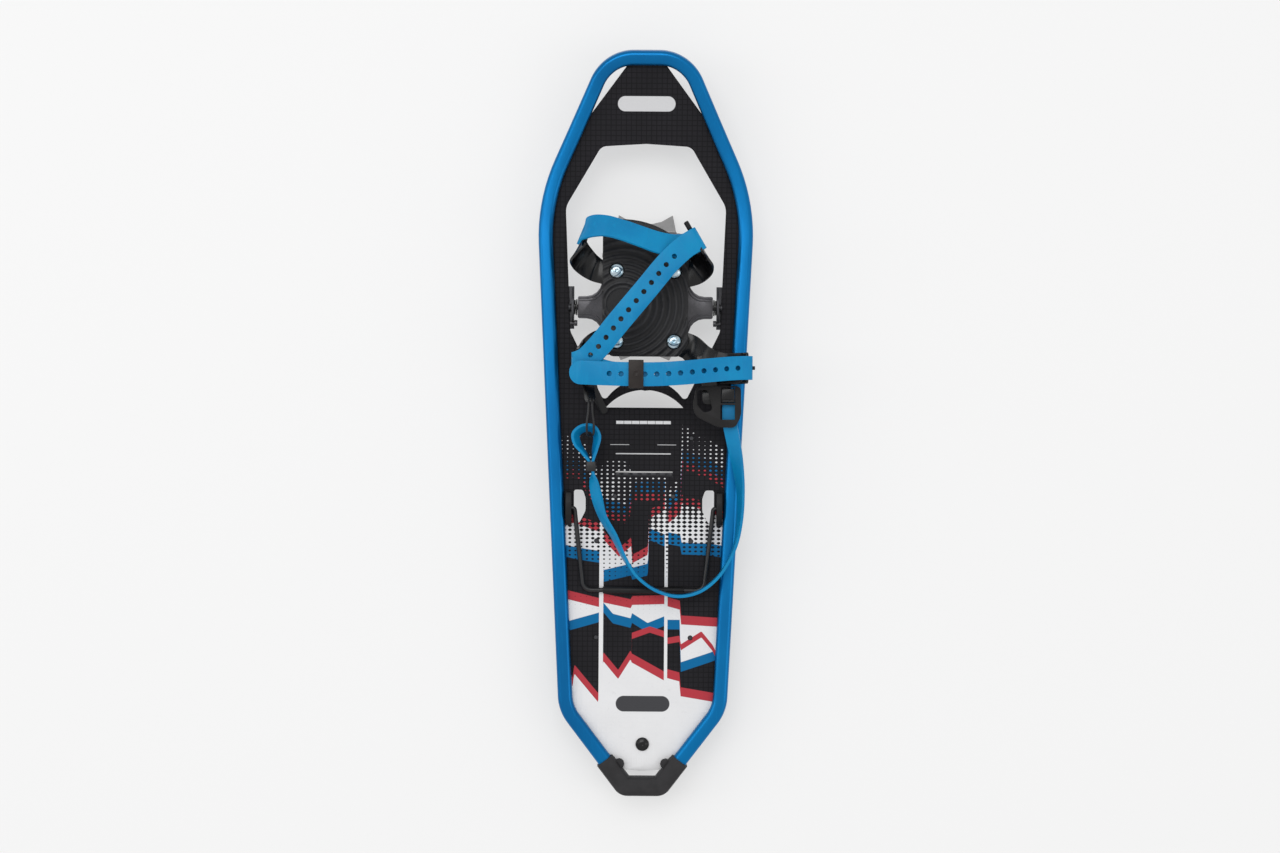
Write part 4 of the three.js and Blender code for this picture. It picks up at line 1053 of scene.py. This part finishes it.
def make_harness_strap():
    toe = [
        (-56.8, 163.2, 74, 0.4, 0.92, 0), (-54.8, 166.3, 79.5, 0.4, 0.92, 0), (-52, 169.3, 85, 0.4, 0.92, 0),
        (-46, 171.2, 89.3, 0.33, 0.92, -0.2), (-35, 171.3, 91.5, 0.06, 0.88, -0.45),
        (-19.4, 167.4, 92, -0.24, 0.86, -0.45), (-3.9, 162.1, 91.5, -0.28, 0.88, -0.38),
        (12, 157, 89, -0.2, 0.93, -0.3), (27, 154.9, 84.5, -0.2, 0.96, -0.15),
        (37, 156.6, 82.4, -0.4, 0.92, 0),
    ]
    across = [
        (35.5, 155, 90.4, -0.6, 0.8, 0), (20.5, 141, 94, -0.73, 0.68, 0), (0, 116, 98, -0.75, 0.66, 0),
        (-24, 87, 98.5, -0.75, 0.66, 0), (-41, 66, 95.5, -0.6, 0.8, 0), (-52, 55.5, 92.2, -0.2, 0.98, 0),
    ]
    straight = (0, 1, 0)
    under = turned(straight, (-53, 50.8, 84.6), (-42, 47.3, 91), (-30, 44, 97.6), (-18, 43.2, 99.4),
                   (8, 43.2, 99.4), (34, 45, 97), (58, 47.5, 91), (76, 49.2, 85), (83, 49.5, 83.5))
    top = turned(straight, (82, 49.3, 91), (72, 48.6, 93.4), (54, 46.8, 98.2), (33, 44.6, 101.6),
                 (8, 43.2, 102.6), (-18, 43.2, 102.6), (-34, 43.6, 100.6), (-55, 44.4, 97))
    first_fold = fold(TOE_BAR, TOE_AWAY, TOE_SIDE, True)
    second_fold = fold(LEFT_BAR, (-1, 0), straight, False)
    third_fold = fold(RIGHT_BAR, (1, 0), straight, True)
    guides = toe + first_fold + across + second_fold + under + third_fold + top
    stations = route(guides)

    def mark(index):
        return stations[index * PER_SPAN][3]

    length = stations[-1][3]
    half = STRAP_WIDE / 2
    tip = length + half
    outline = rounded_run([(-half, 0, 3), (half, 0, 3), (half, tip, 9.8), (-half, tip, 9.8)], True, 9)
    across_start = mark(len(toe + first_fold))
    under_start = mark(len(toe + first_fold + across + second_fold))
    under_end = mark(len(guides) - len(third_fold + top))
    top_start = mark(len(guides) - len(top))

    # punched holes along the three straight runs; those of the lower layer lie between those of the upper
    pitch = 10.2
    places = [across_start + 15 + pitch * k for k in range(12)]
    places += [under_start + 12.5 + pitch * k for k in range(int((under_end - under_start - 20) / pitch))]
    places += [top_start + 2 + pitch * k for k in range(int((length - top_start - 8) / pitch))]
    holes = [circle(0, place, 2.3) for place in places]
    strap = ribbon_piece("strap", stations, outline, holes, STRAP_THICK, 0.55, 1.1)
    finish_piece(strap, urethane, "binding", "harness_strap")


def make_keeper():
    bevelled("strap_keeper", keeper_black, "strap_keeper", 1.1, 3)
    dome = [(0, 105.6), (3.0, 105.6), (3.0, 105.95), (2.6, 106.15), (2.0, 106.1), (1.7, 105.9), (0, 105.8)]
    dimple = lathe_piece("keeper_dimple", dome, (-7.7, 44, 0), segments=32)
    finish_piece(dimple, keeper_black, "strap_keeper")
    line = [Vector((x, y, TOE_BAR[2])) for x, y in ((38.2, 169.3), (36.5, 172.2), (34.9, 174.9), (34.7, 175.2))]
    finish_piece(wire_piece("peg", line, 2.2), black_shell, "binding", "toe_peg")
    bevelled("instep_prong", black_shell, "binding", 0.4, 2)


def make_heel_hardware():
    bevelled("heel_buckle", buckle_black, "binding", 1.0, 3)
    bevelled("heel_buckle_lever", gloss_black, "buckle_lever", 0.6, 3)
    roll = [(0, -5.2), (0.9, -5.2), (1.25, -4.8), (1.25, 4.8), (0.9, 5.2), (0, 5.2)]
    finish_piece(lathe_piece("lever_roll", roll, (72.8, 20.9, 71.1), "X", 24), gloss_black, "buckle_lever")
    bevelled("strap_ferrule", powder, "binding", 0.7, 3)

    middle, narrow = -47.6, 0.62
    half = [(2.2, 21.5, 63.0), (2.3, 20.2, 65.6), (2.4, 17.5, 66.7), (3, 10, 66.8), (4.6, 3, 66.4),
            (5, -3, 65.4), (4.4, -8.6, 62), (2.4, -10.2, 59)]
    right = [Vector((middle + x * narrow, y, z)) for x, y, z in half]
    left = [Vector((middle - x * narrow, y, z)) for x, y, z in half[::-1]]
    hook = wire_piece("hook", catmull(right + [Vector((middle, -10.6, 58))] + left, 6), 1.0)
    finish_piece(hook, powder, "binding", "heel_hook")


def make_heel_strap():
    loop = [(-48.3, -41, 54, 0, 0, 1), (-48.6, -33, 54, 0, 0, 1), (-53, -25.5, 54.5, -0.3, 0.1, 0.95),
            (-59, -17.5, 55, -0.42, 0.1, 0.9), (-60.5, -9, 55.5, -0.4, 0.2, 0.9),
            (-54, -3.6, 55.5, -0.15, 0.4, 0.9), (-45.6, -3.8, 55.5, 0.2, 0.35, 0.9),
            (-41.8, -11, 55.2, 0.42, 0.1, 0.9), (-43.6, -22, 54.5, 0.3, 0, 0.95),
            (-45.3, -33, 54, 0, 0, 1), (-45.2, -42, 54, 0, 0, 1)]
    twist = [(-44.4, -51, 53.6, 0.5, 0.05, 0.86), (-42, -63, 53, 0.68, 0.1, 0.72),
             (-36.5, -81.6, 51.5, 0.42, 0.2, 0.88), (-26.5, -98.5, 50.5, 0.3, 0.2, 0.93),
             (-16.5, -119, 50, 0.15, 0.1, 0.98)]
    run = turned(UP, (-6, -134, 50), (10, -146, 50), (29.7, -151.5, 50), (49, -147.6, 50), (64, -136.5, 50),
                 (74, -122.5, 50.5))
    rise = [(81, -106, 51.5, 0.1, 0.03, 0.99), (84.5, -84, 54, 0.25, 0.05, 0.96),
            (85, -60, 57, 0.36, 0.06, 0.93), (82.5, -38, 60, 0.62, 0.08, 0.78),
            (78, -14, 62.5, 0.93, 0.05, 0.36), (74.5, 4, 63.2, 1, 0, 0), (74.5, 24, 63.2, 1, 0, 0)]
    stations = route(loop + twist + run + rise)
    length = stations[-1][3]
    half = HEEL_STRAP_WIDE / 2
    outline = rounded_run([(-half, 0, 1), (half, 0, 1), (half, length, 1), (-half, length, 1)], True, 20)
    strap = ribbon_piece("heel_strap_fine", stations, outline, [], HEEL_STRAP_THICK, 0.6, 1.6)
    finish_piece(strap, urethane, "binding", "heel_strap")


def make_heel_lift():
    bar_y = BAIL_Y - BAIL_REACH
    right = [(68.6, BAIL_Y, 0), (61.8, BAIL_Y, 2.6), (53.5, bar_y, 8)]
    points = [Vector((p.x, p.y, BAIL_Z)) for p in rounded_run(right + mirrored(right), step=8)]
    finish_piece(wire_piece("bail", points, 2.0, 20), powder, "heel_lift", "heel_lift_bail")
    bevelled("heel_lift_bar", black_shell, "heel_lift", 0.6, 2)


make_frame()
make_deck()
make_carriage()
make_footbed()
make_arms()
make_harness_strap()
make_keeper()
make_heel_hardware()
make_heel_strap()
make_heel_lift()


# ---------- camera, light and floor ----------
def make_stage():
    # pale paper that glows a little, which keeps its shadows soft; its lengths are in metres
    reach = 30
    floor_mesh = bpy.data.meshes.new("floor")
    floor_mesh.from_pydata([(-reach, -reach, 0), (reach, -reach, 0), (reach, reach, 0), (-reach, reach, 0)], [],
                           [(0, 1, 2, 3)])
    floor = add_to_scene(bpy.data.objects.new("floor", floor_mesh))
    floor.location.z = -0.0005
    n = Nodes("floor_paper")
    floor_mesh.materials.append(n.surface((0.4, 0.4, 0.4), 0.95, Specular_IOR_Level=0.05,
                                          Emission_Color=(1, 1, 1, 1), Emission_Strength=0.48))

    world = bpy.data.worlds.new("studio")
    world.use_nodes = True
    color, strength = world.node_tree.nodes["Background"].inputs[:2]
    color.default_value = (1, 1, 1, 1)
    strength.default_value = 0.78
    bpy.context.scene.world = world

    def lamp(name, place, size, power):
        data = bpy.data.lights.new(name, "AREA")
        data.shape = "RECTANGLE"
        data.size, data.size_y = size
        data.energy = power
        obj = add_to_scene(bpy.data.objects.new(name, data))
        obj.location = place
        obj.rotation_euler = (Vector((0, 0, 0.03)) - Vector(place)).to_track_quat("-Z", "Y").to_euler()

    lamp("overhead", (-0.35, 1.0, 2.6), (1.8, 1.2), 20)
    lamp("left_box", (-2.2, 0.2, 1.9), (0.9, 1.8), 9)
    lamp("right_box", (2.2, -0.4, 2.1), (0.9, 1.8), 7)


def make_camera():
    # 1.8 m above the deck, looking straight down
    data = bpy.data.cameras.new("camera")
    data.lens = 56.75
    data.sensor_width = 36
    data.clip_start = 0.05
    camera = add_to_scene(bpy.data.objects.new("camera", data))
    camera.location = (-0.0040, -0.0018, 1.8 + DECK_Z * MM)
    camera.rotation_euler = (0, 0, math.radians(0.4))
    bpy.context.scene.camera = camera


make_stage()
make_camera()
bpy.context.scene.view_settings.view_transform = "Standard"
